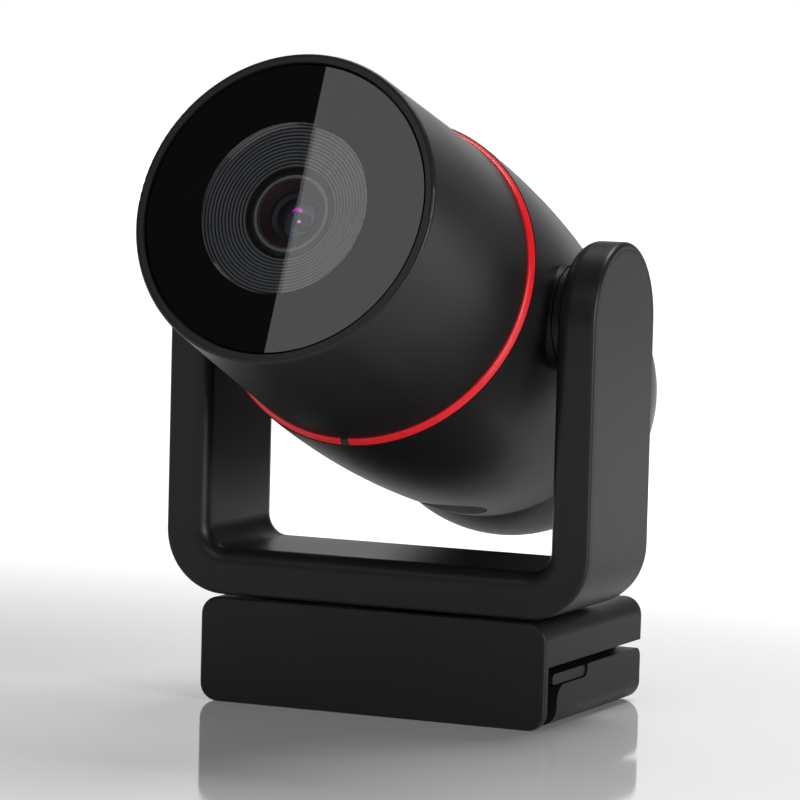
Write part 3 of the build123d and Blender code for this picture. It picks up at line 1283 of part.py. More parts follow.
HEAT_SINK_FRONT = MAIN_BOARD_BACK - PROCESSOR_THICKNESS
with BuildPart() as heat_sink:
    with BuildSketch(HEAD.offset(HEAT_SINK_FRONT - HEAT_SINK_BASE)):
        Rectangle(34.0, 34.0)
    extrude(amount=HEAT_SINK_BASE)
    with BuildSketch(HEAD.offset(HEAT_SINK_FRONT - HEAT_SINK_BASE - HEAT_SINK_FIN)):
        with GridLocations(FIN_PITCH, 0, FIN_COUNT, 1):
            Rectangle(1.0, 34.0)
    extrude(amount=HEAT_SINK_FIN)
save(heat_sink.part, "heat_sink")

with BuildPart() as board_posts:
    with BuildSketch(HEAD.offset(MAIN_BOARD_STATION)):
        with Locations(*BOARD_POST_SPOTS):
            Circle(BOARD_POST_RADIUS)
    extrude(amount=LEDGE_FRONT - MAIN_BOARD_STATION)
save(board_posts.part, "board_posts")

# Stepper motor on a steel plate, its pinion in mesh with the fixed gear
TILT_MOTOR_FACE = 27.2
TILT_MOTOR_BACK = 13.5
TILT_MOTOR_RADIUS = 9.0
MOTOR_PLATE_THICKNESS = 1.0

with BuildPart() as tilt_motor:
    with BuildSketch(mesh_view(TILT_MOTOR_BACK)):
        with Locations((TILT_MESH, 0)):
            Circle(TILT_MOTOR_RADIUS)
    extrude(amount=TILT_MOTOR_FACE - TILT_MOTOR_BACK)
    with BuildSketch(mesh_view(TILT_MOTOR_FACE)):
        with Locations((TILT_MESH, 0)):
            Circle(3.0)
            Circle(1.0 + RUNNING_FIT, mode=Mode.SUBTRACT)
    extrude(amount=MOTOR_PLATE_THICKNESS + 0.6)
    with BuildSketch(mesh_view(TILT_MOTOR_FACE - 2.0)):
        with Locations((TILT_MESH, 0)):
            Circle(1.0 + RUNNING_FIT)
    extrude(amount=2.0, mode=Mode.SUBTRACT)
save(tilt_motor.part, "tilt_motor")

# The plate turns a flange back along the chassis and is screwed to it
PLATE_BACK = -20.0
PLATE_LOW = 8.6
PLATE_HIGH = 17.5
PLATE_BORE = 3.1
FLANGE_LEFT = 18.0
FLANGE_HIGH = 16.0
with BuildPart() as motor_plate:
    with BuildSketch(Plane(origin=(TILT_MOTOR_FACE, 0, TILT_HEIGHT), x_dir=FORWARD, z_dir=(-1, 0, 0))):
        rectangle(PLATE_BACK, LEDGE_FRONT, PLATE_LOW, PLATE_HIGH)
        with Locations((-TILT_MESH * cos(pi / 4), TILT_MESH * sin(pi / 4))):
            Circle(PLATE_BORE, mode=Mode.SUBTRACT)
    extrude(amount=-MOTOR_PLATE_THICKNESS)
    with BuildSketch(HEAD.offset(LEDGE_FRONT - MOTOR_PLATE_THICKNESS)):
        rectangle(FLANGE_LEFT, TILT_MOTOR_FACE + MOTOR_PLATE_THICKNESS, PLATE_LOW, FLANGE_HIGH)
    extrude(amount=MOTOR_PLATE_THICKNESS)
save(motor_plate.part, "motor_plate")

SHAFT_INSET = 1.9
with BuildPart() as tilt_pinion:
    with BuildSketch(mesh_view(TILT_GEAR_X)):
        gear_sketch(PINION_TEETH, TILT_MODULE, HALF_TOOTH, TILT_MESH, 0)
    extrude(amount=TILT_GEAR_THICKNESS)
    with BuildSketch(mesh_view(TILT_MOTOR_FACE - SHAFT_INSET)):
        with Locations((TILT_MESH, 0)):
            Circle(1.0)
    extrude(amount=TILT_GEAR_X - TILT_MOTOR_FACE + SHAFT_INSET)
save(tilt_pinion.part, "tilt_pinion")


def head_bush(side):
    """Flanged plastic bush in one side of the rear shell: right is 1, left is -1."""
    with BuildPart() as bush:
        with BuildSketch(side_view(side * LAND_ROOT)):
            with Locations(TILT_SPOT):
                Circle(HEAD_BUSH_RADIUS)
        extrude(amount=side * (LAND_END - LAND_ROOT))
        with BuildSketch(side_view(side * LAND_ROOT)):
            with Locations(TILT_SPOT):
                Circle(HEAD_BUSH_RADIUS + 1.5)
        extrude(amount=-side * 1.0)
        with BuildSketch(side_view(side * (LAND_ROOT - 1.0))):
            with Locations(TILT_SPOT):
                Circle(STUB_RADIUS + RUNNING_FIT)
        extrude(amount=side * (LAND_END - LAND_ROOT + 1.0), mode=Mode.SUBTRACT)
    return bush.part


save(head_bush(1), "head_bush_right")
save(head_bush(-1), "head_bush_left")
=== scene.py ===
# %% [markdown]
# # A pan-tilt webcam, finished around its CAD frame
# The CAD model fixes every size and joint of this camera. This lesson adds what the eye
# sees: the red ring with its painted glow, the printed window, the coated lens, and the
# grain of the soft black plastic. All lengths are metres, and the object stands on z = 0.

import json
from math import cos, pi, radians, sin

import bmesh
import bpy
import numpy as np
from mathutils import Matrix


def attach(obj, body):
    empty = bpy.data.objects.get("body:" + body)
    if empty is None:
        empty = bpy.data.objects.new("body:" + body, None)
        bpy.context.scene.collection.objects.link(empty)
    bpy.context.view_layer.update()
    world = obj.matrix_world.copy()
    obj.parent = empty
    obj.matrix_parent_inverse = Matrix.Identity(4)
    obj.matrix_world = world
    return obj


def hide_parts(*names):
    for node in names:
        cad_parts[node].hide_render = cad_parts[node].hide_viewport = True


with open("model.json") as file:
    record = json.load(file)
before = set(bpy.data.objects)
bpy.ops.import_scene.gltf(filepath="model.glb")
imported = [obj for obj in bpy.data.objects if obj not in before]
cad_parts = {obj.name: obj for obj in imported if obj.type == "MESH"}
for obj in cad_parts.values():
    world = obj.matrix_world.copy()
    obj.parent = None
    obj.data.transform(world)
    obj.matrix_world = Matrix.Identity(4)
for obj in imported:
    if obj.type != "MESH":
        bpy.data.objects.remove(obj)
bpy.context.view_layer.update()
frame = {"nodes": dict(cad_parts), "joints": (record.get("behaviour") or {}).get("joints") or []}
nodes = frame["nodes"]

# %% [markdown]
# ## The head's own axes
# Nearly every round part of the head is turned about one line, the optical axis. It
# could be read off each part's box, but the tilt joint already says where the head
# turns, and the head rests looking up by a known angle. From those two facts come three
# axes: forward through the window, upward, and the X axis to the right.

# %% Axes of the head
MM = 0.001
HEAD_TILT = radians(20.2)
tilt_joint = next(j for j in frame["joints"] if j["name"] == "tilt")
tilt_point = np.array(tilt_joint["pos_m"])
forward = np.array([0.0, -cos(HEAD_TILT), sin(HEAD_TILT)])
upward = np.array([0.0, sin(HEAD_TILT), cos(HEAD_TILT)])
rightward = np.array([1.0, 0.0, 0.0])
print("tilt axis at", tilt_point, "forward", forward.round(3))


def head_point(right, up, station):
    """Point of the head: tilt axis + right, up and forward distances, in millimetres."""
    return tilt_point + MM * (right * rightward + up * upward + station * forward)


# %% [markdown]
# ## The camera
# A product shot of something this small is taken with a long lens from about a metre
# away, so that the near rim doesn't swell. The camera stands to the front right, a
# little above the window, and is rolled by a degree and a half, as by a tripod head.

# %% Camera
CAMERA_AZIMUTH = radians(24.457)
CAMERA_PITCH = radians(4.693)
CAMERA_ROLL = radians(1.476)
CAMERA_PLACE = np.array([0.39505, -0.87374, 0.14931])

sight = np.array([
    -sin(CAMERA_AZIMUTH) * cos(CAMERA_PITCH),
    cos(CAMERA_AZIMUTH) * cos(CAMERA_PITCH),
    -sin(CAMERA_PITCH),
])
level = np.cross(sight, [0, 0, 1])
level /= np.linalg.norm(level)
plumb = np.cross(sight, level)
across = level * cos(CAMERA_ROLL) - plumb * sin(CAMERA_ROLL)
down = plumb * cos(CAMERA_ROLL) + level * sin(CAMERA_ROLL)


def placed(x_axis, y_axis, z_axis, place):
    """Matrix whose columns are three unit axes and a place."""
    matrix = Matrix.Identity(4)
    for column, vector in enumerate((x_axis, y_axis, z_axis, place)):
        for row in range(3):
            matrix[row][column] = float(vector[row])
    return matrix


camera_data = bpy.data.cameras.new("portrait_lens")
camera_data.lens = 189.0
camera_data.sensor_width = 36.0
camera_data.clip_start = 0.05
camera_data.clip_end = 60.0
camera = bpy.data.objects.new("portrait_camera", camera_data)
camera.matrix_world = placed(across, -down, -sight, CAMERA_PLACE)
bpy.context.scene.collection.objects.link(camera)
bpy.context.scene.camera = camera
print("camera", round(float(np.linalg.norm(CAMERA_PLACE[:2])), 3), "m from the pan axis")

# %% [markdown]
# ## Shader maths as sums
# A finish is a graph of nodes, and a graph of Math nodes is hard to read. Here a small
# class wraps a socket, so a mask is written as a sum, and the nodes are made on the way.
# Whatever isn't arithmetic comes from one method that takes a node's type, its settings
# and its inputs.

# %% Wire and Finish
class Wire:
    """A value on its way through a finish: arithmetic on it adds Math nodes."""

    def __init__(self, finish, socket):
        self.finish, self.socket = finish, socket

    def maths(self, operation, *values):
        """Math node on the given values, in order."""
        return self.finish.node("ShaderNodeMath", {"operation": operation}, dict(enumerate(values)))

    def __add__(self, other): return self.maths("ADD", self, other)
    def __radd__(self, other): return self.maths("ADD", other, self)
    def __sub__(self, other): return self.maths("SUBTRACT", self, other)
    def __rsub__(self, other): return self.maths("SUBTRACT", other, self)
    def __mul__(self, other): return self.maths("MULTIPLY", self, other)
    def __rmul__(self, other): return self.maths("MULTIPLY", other, self)
    def __abs__(self): return self.maths("ABSOLUTE", self)

    def over(self, limit, soft):
        """0 below limit and 1 above it, crossing smoothly within a width of soft."""
        settings = {"interpolation_type": "SMOOTHSTEP"}
        values = {"Value": self, "From Min": limit - soft / 2, "From Max": limit + soft / 2}
        return self.finish.node("ShaderNodeMapRange", settings, values)

    def sine(self): return self.maths("SINE", self)


class Finish:
    """A material under construction, around one Principled shader."""

    def __init__(self, name, **constants):
        self.material = bpy.data.materials.new(name)
        self.material.use_nodes = True
        self.tree = self.material.node_tree
        self.shader = self.tree.nodes["Principled BSDF"]
        self.output = self.tree.nodes["Material Output"]
        for socket, value in constants.items():
            self.shader.inputs[socket.replace("_", " ")].default_value = value

    def node(self, kind, settings=None, values=None, result=0):
        """A node of any kind: settings are its properties, values its sockets by name or number."""
        made = self.tree.nodes.new(kind)
        for key, value in (settings or {}).items():
            setattr(made, key, value)
        for key, value in (values or {}).items():
            self.feed(made.inputs[key], value)
        return Wire(self, made.outputs[result])

    def feed(self, socket, value):
        """Sets a socket to a number or colour, or links a wire to it."""
        if isinstance(value, Wire):
            self.tree.links.new(value.socket, socket)
        else:
            socket.default_value = value

    def set(self, **values):
        """Feeds the Principled shader's sockets, with spaces written as underscores."""
        for socket, value in values.items():
            self.feed(self.shader.inputs[socket.replace("_", " ")], value)
        return self

    def place(self):
        """Object coordinates: metres in the CAD frame at rest."""
        return self.node("ShaderNodeTexCoord", result=3)

    def blend(self, mask, low, high):
        """Colour that goes from low to high as mask goes from 0 to 1."""
        return self.node("ShaderNodeMix", {"data_type": "RGBA"}, {0: mask, 6: low, 7: high}, result=2)

    def noise(self, grain, detail=2.0, rough=0.5, at=None):
        """Noise from 0 to 1 with features about grain metres across."""
        values = {"Vector": at or self.place(), "Scale": 1 / grain, "Detail": detail, "Roughness": rough}
        return self.node("ShaderNodeTexNoise", {}, values)

    def bump(self, height, depth):
        """Normal that stands for a relief of the given depth in metres."""
        return self.node("ShaderNodeBump", {}, {"Height": height, "Distance": depth, "Strength": 1.0})

    def offset_from(self, point):
        """Vector from a point to here, in metres."""
        values = {0: self.place(), 1: tuple(point)}
        return self.node("ShaderNodeVectorMath", {"operation": "SUBTRACT"}, values)

    def length_of(self, offset):
        """Length of a vector."""
        return self.node("ShaderNodeVectorMath", {"operation": "LENGTH"}, {0: offset}, result=1)

    def distance_to(self, point):
        """Distance in metres from a point."""
        return self.length_of(self.offset_from(point))

    def axis_distance(self, origin, axis):
        """Distance in metres from an axis through origin: sqrt(|offset|^2 - (offset . axis)^2)."""
        offset = self.offset_from(origin)
        values = {0: offset, 1: tuple(axis)}
        along = self.node("ShaderNodeVectorMath", {"operation": "DOT_PRODUCT"}, values, result=1)
        length = self.length_of(offset)
        square = abs(length * length - along * along)
        return square.maths("SQRT", square)


def grey(level, cool=0.0):
    """Opaque grey of a linear level, with a slight cast towards blue."""
    return (level, level * (1 + 0.3 * cool), level * (1 + cool), 1.0)


print("a finish is made by Finish(name), and its sums by Wire")

# %% [markdown]
# ## Soft black plastic
# Nearly all of the outside is one injection-moulded plastic with a fine spark-eroded
# texture. Up close the texture is a field of tiny pits, and from a metre away it only
# widens the highlights. Noise at a third of a millimetre gives the pits, and slower
# noise makes some areas a little glossier, as handling and the mould do.

# %% Soft black plastic
def moulded_black(name, level, roughness, pit_depth, grain=0.00032):
    """Satin moulded plastic: dark colour with a faint mottle, uneven gloss and fine pits."""
    finish = Finish(name)
    mottle = finish.noise(0.012, detail=3.0)
    handling = finish.noise(0.035, detail=2.0)
    pits = finish.noise(grain, detail=2.0, rough=0.6)
    finish.set(
        Base_Color=finish.blend(mottle, grey(level * 0.85, 0.1), grey(level * 1.15, 0.1)),
        Roughness=roughness - 0.05 + 0.1 * handling + 0.06 * (pits - 0.5),
        Normal=finish.bump(pits, pit_depth),
        Specular_IOR_Level=0.32,
    )
    return finish.material


shell_plastic = moulded_black("soft_black_plastic", 0.0125, 0.36, 0.000012)
base_plastic = moulded_black("base_black_plastic", 0.0125, 0.42, 0.000016)
inner_plastic = moulded_black("chassis_plastic", 0.02, 0.55, 0.00003, grain=0.0006)
key_plastic = moulded_black("key_grey_plastic", 0.03, 0.45, 0.00001)


def dress(material, *names):
    """Puts a material on every slot of the named CAD nodes."""
    for name in names:
        mesh = nodes[name].data
        mesh.materials.clear()
        mesh.materials.append(material)


dress(shell_plastic, "yoke_front", "yoke_rear", "front_barrel", "rear_shell", "tail_cap")
dress(base_plastic, "front_plate", "base_housing", "base_cover", "leg_housing", "leg_cover", "clamp_flap")
dress(inner_plastic, "chassis", "board_posts")
dress(key_plastic, "ring_key")
print("plastic on", len([n for n in nodes.values() if n.data.materials]), "nodes")

# %% [markdown]
# ## Rubber
# The pads that grip a screen and the feet are matt rubber. It is almost as dark as the
# plastic but scatters light more, so its roughness is high and a weak sheen lifts its
# edges. Talc and dust settle in it, which the slow noise stands for.

# %% Rubber
def matt_rubber():
    """Matt rubber with a fine orange-peel surface and a trace of dust."""
    finish = Finish("matt_rubber", Sheen_Weight=0.15)
    dust = finish.noise(0.006, detail=4.0).over(0.62, 0.3)
    peel = finish.noise(0.0005, detail=3.0)
    finish.set(
        Base_Color=finish.blend(dust, grey(0.013), grey(0.032)),
        Roughness=0.72 + 0.15 * dust,
        Normal=finish.bump(peel, 0.00003),
    )
    return finish.material


dress(matt_rubber(), "jaw_pad", "lip_pad", "leg_pad", "foot_pads", "flap_pad", "service_plug")
print("rubber dressed")

# %% [markdown]
# ## Metal inside
# The pins, spindle, bracket and motor cans hardly show, but they come out when the
# object is taken apart. Each is a metal with the marks of how it was made: turned parts
# have rings about their axis, pressed parts a brushed grain, and screws a black oxide.

# %% Metals
def worked_metal(name, colour, roughness, stretch, depth=0.000004):
    """Metal with a drawn grain: noise squeezed along one direction by a Mapping node."""
    finish = Finish(name, Metallic=1.0)
    grain_at = finish.node("ShaderNodeMapping", {}, {"Vector": finish.place(), "Scale": stretch})
    lines = finish.noise(0.0016, detail=4.0, rough=0.7, at=grain_at)
    stain = finish.noise(0.007, detail=3.0)
    dull = tuple(0.72 * c for c in colour)
    finish.set(
        Base_Color=finish.blend(stain, (*dull, 1.0), (*colour, 1.0)),
        Roughness=roughness + 0.18 * (lines - 0.5) + 0.08 * stain,
        Normal=finish.bump(lines, depth),
    )
    return finish.material


dress(worked_metal("turned_steel", (0.58, 0.58, 0.60), 0.28, (12.0, 1.0, 1.0)), "hinge_pin", "flap_pin")
dress(worked_metal("spindle_steel", (0.56, 0.56, 0.58), 0.30, (1.0, 1.0, 9.0)), "pan_spindle", "spindle_clip")
dress(worked_metal("stub_steel", (0.56, 0.56, 0.58), 0.32, (9.0, 1.0, 1.0)),
      "tilt_stub_right", "tilt_stub_left")
dress(worked_metal("pressed_steel", (0.52, 0.53, 0.55), 0.38, (0.6, 6.0, 6.0)), "yoke_bracket", "motor_plate")
dress(worked_metal("motor_can_steel", (0.60, 0.60, 0.62), 0.30, (1.0, 1.0, 5.0)), "pan_motor", "tilt_motor")
dress(worked_metal("port_steel", (0.62, 0.62, 0.64), 0.24, (8.0, 1.0, 1.0)), "usb_port")
dress(worked_metal("turned_brass", (0.74, 0.55, 0.24), 0.30, (1.0, 1.0, 12.0)), "tripod_insert", "standoffs")
dress(worked_metal("fin_aluminium", (0.60, 0.61, 0.63), 0.36, (6.0, 1.0, 1.0)), "heat_sink")
dress(worked_metal("black_oxide", (0.045, 0.045, 0.05), 0.40, (1.0, 1.0, 1.0)),
      "base_screws", "leg_screws", "yoke_screws", "chassis_screws")
print("metals dressed")

# %% [markdown]
# ## Gears, boards and chips
# The gears and bushes are milky acetal, which lets a little light into its surface.
# The boards are green solder mask over copper: the tracks show as faint raised lines,
# so a brick pattern stands for routed tracks and a noise for the weave of the glass.

# %% Acetal, boards and chips
def acetal():
    """Milky plastic: soft subsurface light, slight flow marks."""
    finish = Finish("milky_acetal", Subsurface_Weight=0.3, Subsurface_Scale=0.002)
    flow = finish.noise(0.004, detail=3.0)
    finish.set(
        Base_Color=finish.blend(flow, (0.72, 0.71, 0.66, 1.0), (0.82, 0.81, 0.77, 1.0)),
        Roughness=0.34 + 0.12 * flow,
        Normal=finish.bump(finish.noise(0.0004), 0.000005),
    )
    return finish.material


def solder_mask():
    """Green board: routed tracks stand a little proud and lighter under the mask."""
    finish = Finish("green_solder_mask")
    tracks = finish.node(
        "ShaderNodeTexBrick", {"offset": 0.35, "squash": 1.0},
        {"Vector": finish.place(), "Scale": 420.0, "Mortar Size": 0.02,
         "Color1": grey(1.0), "Color2": grey(0.6), "Mortar": grey(0.0)},
    )
    copper = finish.node("ShaderNodeSeparateColor", {}, {0: tracks})
    finish.set(
        Base_Color=finish.blend(copper, (0.010, 0.060, 0.026, 1.0), (0.022, 0.135, 0.058, 1.0)),
        Roughness=0.30 + 0.12 * finish.noise(0.001),
        Normal=finish.bump(copper, 0.00004),
    )
    return finish.material


dress(acetal(), "pan_gear", "tilt_gear", "pan_pinion", "tilt_pinion",
      "pan_bush", "head_bush_right", "head_bush_left")
dress(solder_mask(), "base_board", "sensor_board", "main_board")
dress(moulded_black("chip_moulding", 0.018, 0.50, 0.00001), "processor")
print("gears and boards dressed")

# %% [markdown]
# ## Surfaces from profiles
# The pieces that the eye goes to, the ring, the window and the lens, are turned shapes.
# Each is a profile of (station, radius) pairs carried round the optical axis, worked out
# as one grid of points, so that it is smooth all the way round.

# %% Turned surfaces
def mesh_object(name, points, faces):
    """Object at the origin from an array of points and a list of faces."""
    mesh = bpy.data.meshes.new(name)
    mesh.from_pydata(points.tolist(), [], faces)
    mesh.validate()
    mesh.shade_smooth()
    piece = bpy.data.objects.new(name, mesh)
    bpy.context.scene.collection.objects.link(piece)
    return piece


def grid_faces(rows, columns, wrap_rows, wrap_columns):
    """Quads over a grid of rows x columns points, joined end to start where asked."""
    row = np.arange(rows if wrap_rows else rows - 1)
    column = np.arange(columns if wrap_columns else columns - 1)
    r, c = np.meshgrid(row, column, indexing="ij")
    r2, c2 = (r + 1) % rows, (c + 1) % columns
    quads = np.stack([r * columns + c, r * columns + c2, r2 * columns + c2, r2 * columns + c], -1)
    return quads.reshape(-1, 4).tolist()


def turned(name, profile, steps=256):
    """Solid of revolution: point(a, s) = axis(s) + radius(s) * (cos a right + sin a up).

    profile is a closed loop of (station, radius) in millimetres, or, where it starts and
    ends on the axis, an open line whose two ends are closed by a pole each."""
    profile = np.array(profile, float)
    poles = profile[0, 1] == 0 and profile[-1, 1] == 0
    ring = profile[1:-1] if poles else profile
    angle = np.linspace(0, 2 * pi, steps, endpoint=False)
    spoke = np.cos(angle)[:, None] * rightward + np.sin(angle)[:, None] * upward
    points = (tilt_point + MM * (ring[None, :, 0, None] * forward
                                 + ring[None, :, 1, None] * spoke[:, None, :])).reshape(-1, 3)
    faces = grid_faces(steps, len(ring), True, not poles)
    if poles:
        ends = tilt_point + MM * profile[[0, -1], 0][:, None] * forward
        points = np.vstack([points, ends])
        first, last = len(points) - 2, len(points) - 1
        here = np.arange(steps)
        after = (here + 1) % steps
        rows = len(ring)
        here_last, after_last = here * rows + rows - 1, after * rows + rows - 1
        faces += np.stack([np.full(steps, first), here * rows, after * rows], -1).tolist()
        faces += np.stack([np.full(steps, last), after_last, here_last], -1).tolist()
    return mesh_object(name, points, faces)


def rounded(corners, radius, steps=6):
    """Closed profile through corners, each cut by an arc that leaves it radius away.

    At each corner the curve is (1-t)^2 a + 2t(1-t) corner + t^2 b, from the point a just
    before the corner to the point b just after it."""
    corners = np.array(corners, float)
    before = np.roll(corners, 1, 0) - corners
    after = np.roll(corners, -1, 0) - corners
    before_length = np.linalg.norm(before, axis=1, keepdims=True)
    after_length = np.linalg.norm(after, axis=1, keepdims=True)
    cut = np.minimum(radius, 0.45 * np.minimum(before_length, after_length))
    a = corners + cut * before / before_length
    b = corners + cut * after / after_length
    t = np.linspace(0, 1, steps)[None, :, None]
    arcs = (1 - t) ** 2 * a[:, None] + 2 * t * (1 - t) * corners[:, None] + t ** 2 * b[:, None]
    return arcs.reshape(-1, 2)


print("turned surfaces ready")

# %% [markdown]
# ## The red ring, with a painted glow
# A translucent red moulding sits between the two halves of the head. Its face is slightly
# crowned and its edges are rounded, which gives the two thin pale lines where it meets the
# black. A weak emission brightens its red as a painted glow, and a slow noise along the
# ring makes that painted glow a little uneven.

# %% Red ring with a painted glow
RING_FRONT, RING_BACK = 23.3, 21.7
RING_FRONT_RADIUS, RING_BACK_RADIUS = 37.6, 38.5
RING_INNER_RADIUS = 34.75
RING_GAP = 1.0


def split_ring(name, profile, gap, steps=320):
    """Ring with a gap at the bottom: the profile swept from one side of the gap to the other.

    point(a, s) = axis(s) + radius(s) * (sin a right - cos a up), with the angle a running
    from the gap's half-angle to a full turn less the half-angle. Both ends are capped."""
    profile = np.array(profile, float)
    half = gap / profile[:, 1].max()
    angle = np.linspace(half, 2 * pi - half, steps)
    spoke = np.sin(angle)[:, None] * rightward - np.cos(angle)[:, None] * upward
    points = (tilt_point + MM * (profile[None, :, 0, None] * forward
                                 + profile[None, :, 1, None] * spoke[:, None, :])).reshape(-1, 3)
    count = len(profile)
    faces = grid_faces(steps, count, False, True)
    faces.append(list(range(count)))
    faces.append(list(range(steps * count - 1, (steps - 1) * count - 1, -1)))
    return mesh_object(name, points, faces)


def outward(piece):
    """Turns every face of a closed piece to point out of it."""
    shape = bmesh.new()
    shape.from_mesh(piece.data)
    bmesh.ops.recalc_face_normals(shape, faces=shape.faces)
    shape.to_mesh(piece.data)
    shape.free()
    return piece


ring_section = rounded([
    (RING_BACK, RING_INNER_RADIUS),
    (RING_BACK, RING_BACK_RADIUS - 0.05),
    (0.5 * (RING_FRONT + RING_BACK), 0.5 * (RING_FRONT_RADIUS + RING_BACK_RADIUS) + 0.02),
    (RING_FRONT, RING_FRONT_RADIUS - 0.02),
    (RING_FRONT, RING_INNER_RADIUS),
], 0.22)
red_ring_painted_glow = outward(split_ring("red_ring_painted_glow", ring_section, RING_GAP))

# Painted glow: the emission brightens the red ring, and the slow noise varies that glow along the ring.
ring_with_painted_glow = Finish("red_plastic_painted_glow", Emission_Strength=0.14, Coat_Roughness=0.08, IOR=1.5)
painted_glow_wave = ring_with_painted_glow.noise(0.028, detail=1.0)
haze = ring_with_painted_glow.noise(0.0012, detail=2.0)
ring_with_painted_glow.set(
    Base_Color=ring_with_painted_glow.blend(haze, (0.66, 0.003, 0.008, 1.0), (0.78, 0.006, 0.014, 1.0)),
    Emission_Color=ring_with_painted_glow.blend(painted_glow_wave, (0.62, 0.0, 0.006, 1.0), (1.0, 0.004, 0.020, 1.0)),
    Roughness=0.24 + 0.10 * haze,
    Coat_Weight=0.15,
    Normal=ring_with_painted_glow.bump(haze, 0.000006),
)
red_ring_painted_glow.data.materials.append(ring_with_painted_glow.material)
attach(red_ring_painted_glow, "head")
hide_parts("red_ring")
print("light ring:", len(red_ring_painted_glow.data.polygons), "faces")

# %% [markdown]
# ## The window
# One flat disc of glass closes the front. Its rim is printed black on the back, and a
# round window is left clear in the middle. It could be one piece with a mask, but two
# pieces that share a face are plainer: a printed border that nothing shows through, and
# a clear pane. Clear glass is a mirror by Fresnel's law over a hole, so the pane mixes
# a sharp reflection with a transparent shader, and light passes to what lies behind.

# %% Printed border and clear pane
GLASS_FRONT, GLASS_BACK = 72.2, 70.7
GLASS_RADIUS, WINDOW_RADIUS = 32.65, 19.4
GLASS_CHAMFER = 0.25

border = outward(turned("window_border", [
    (GLASS_BACK, WINDOW_RADIUS),
    (GLASS_FRONT, WINDOW_RADIUS),
    (GLASS_FRONT, GLASS_RADIUS - GLASS_CHAMFER - 0.03),
    (GLASS_FRONT, GLASS_RADIUS - GLASS_CHAMFER),
    (GLASS_FRONT - GLASS_CHAMFER, GLASS_RADIUS),
    (GLASS_FRONT - GLASS_CHAMFER - 0.03, GLASS_RADIUS),
    (GLASS_BACK, GLASS_RADIUS),
]))
border.data.shade_flat()
pane = outward(turned("window_pane", [
    (GLASS_BACK, 0),
    (GLASS_BACK, WINDOW_RADIUS - 0.01),
    (GLASS_FRONT, WINDOW_RADIUS - 0.01),
    (GLASS_FRONT, 0),
]))
pane.data.shade_flat()

printed = Finish("black_printed_glass", IOR=1.5)
film = printed.noise(0.018, detail=3.0)
printed.set(
    Base_Color=printed.blend(film, grey(0.0012), grey(0.0020)),
    Roughness=0.001 + 0.003 * film,
    Specular_IOR_Level=0.62,
)
border.data.materials.append(printed.material)

clear = Finish("clear_window_glass")
smear = clear.noise(0.02, detail=3.0)
fresnel = clear.node("ShaderNodeFresnel", {}, {"IOR": 1.5})
see_through = clear.node("ShaderNodeBsdfTransparent", {}, {"Color": (0.86, 0.87, 0.88, 1.0)})
polish = {"Color": grey(1.0), "Roughness": 0.001 + 0.003 * smear}
mirror = clear.node("ShaderNodeBsdfGlossy", {}, polish)
both = clear.node("ShaderNodeMixShader", {}, {0: fresnel, 1: see_through, 2: mirror})
clear.tree.links.new(both.socket, clear.output.inputs["Surface"])
pane.data.materials.append(clear.material)

for piece in (border, pane):
    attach(piece, "head")
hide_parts("front_glass")
print("window:", len(border.data.polygons) + len(pane.data.polygons), "faces")

# %% [markdown]
# ## The lens
# Behind the window a ribbed funnel leads in to the lens. The ribs are there to catch
# stray light; the fine circles they show are a painted highlight, each crest coloured
# lighter than its valley. The lens in its bezel is anodised black, and its glass is
# coated, so each surface gives back one colour: blue-grey from the first and magenta
# from the ones behind. The iris is coloured light blue-grey as a painted sheen, and the
# magenta arc and dot on the first glass are painted reflections.

# %% Funnel, bezel and barrel of the lens
TURNING_PITCH, TURNING_DEPTH = 0.0003, 0.000004
RIB_RUN = 0.000758
FUNNEL_EDGE = 0.0194


def anodised(name, level, roughness, tint=(1.0, 1.0, 1.0)):
    """Black anodised or moulded lens part, with turning rings about the optical axis."""
    finish = Finish(name, Metallic=0.0)
    radius = finish.axis_distance(tilt_point, forward)
    mottle = finish.noise(0.003, detail=3.0)
    rings = (radius * (2 * pi / TURNING_PITCH)).sine()
    low = tuple(level * 0.85 * c for c in tint)
    high = tuple(level * 1.15 * c for c in tint)
    finish.set(
        Base_Color=finish.blend(mottle, (*low, 1.0), (*high, 1.0)),
        Roughness=roughness + 0.08 * mottle,
        Normal=finish.bump(rings + mottle, TURNING_DEPTH),
    )
    return finish.material


funnel = Finish("ribbed_funnel")
radius = funnel.axis_distance(tilt_point, forward)
# Painted highlight: each rib's crest is coloured lighter than its valley, as light falling on the ribs would
# show it.
painted_rib_highlight = 0.5 - 0.5 * ((FUNNEL_EDGE - radius) * (2 * pi / RIB_RUN) + 0.5 * pi).sine()
dust = funnel.noise(0.004, detail=3.0)
funnel.set(
    Base_Color=funnel.blend(painted_rib_highlight * (0.8 + 0.2 * dust), grey(0.030, 0.1), grey(0.420, 0.1)),
    Roughness=0.36 + 0.10 * dust,
)
dress(funnel.material, "lens_baffle")


def two_zones(name, limit, inner, outer, roughness):
    """Turned part in two colours, inside and outside a radius about the optical axis."""
    finish = Finish(name)
    radius = finish.axis_distance(tilt_point, forward)
    mottle = finish.noise(0.002, detail=3.0)
    finish.set(
        Base_Color=finish.blend(radius.over(limit, 0.0001), inner, outer),
        Roughness=roughness + 0.08 * mottle,
        Normal=finish.bump(mottle, TURNING_DEPTH),
    )
    return finish.material


dress(two_zones("bezel_black", 0.0087, grey(0.34), grey(0.030), 0.26), "lens_bezel")
dress(two_zones("hood_maroon", 0.0058, grey(0.004), (0.060, 0.018, 0.022, 1.0), 0.34), "lens_hood")
dress(anodised("lens_barrel_black", 0.012, 0.35), "lens_barrel", "lens_mount")
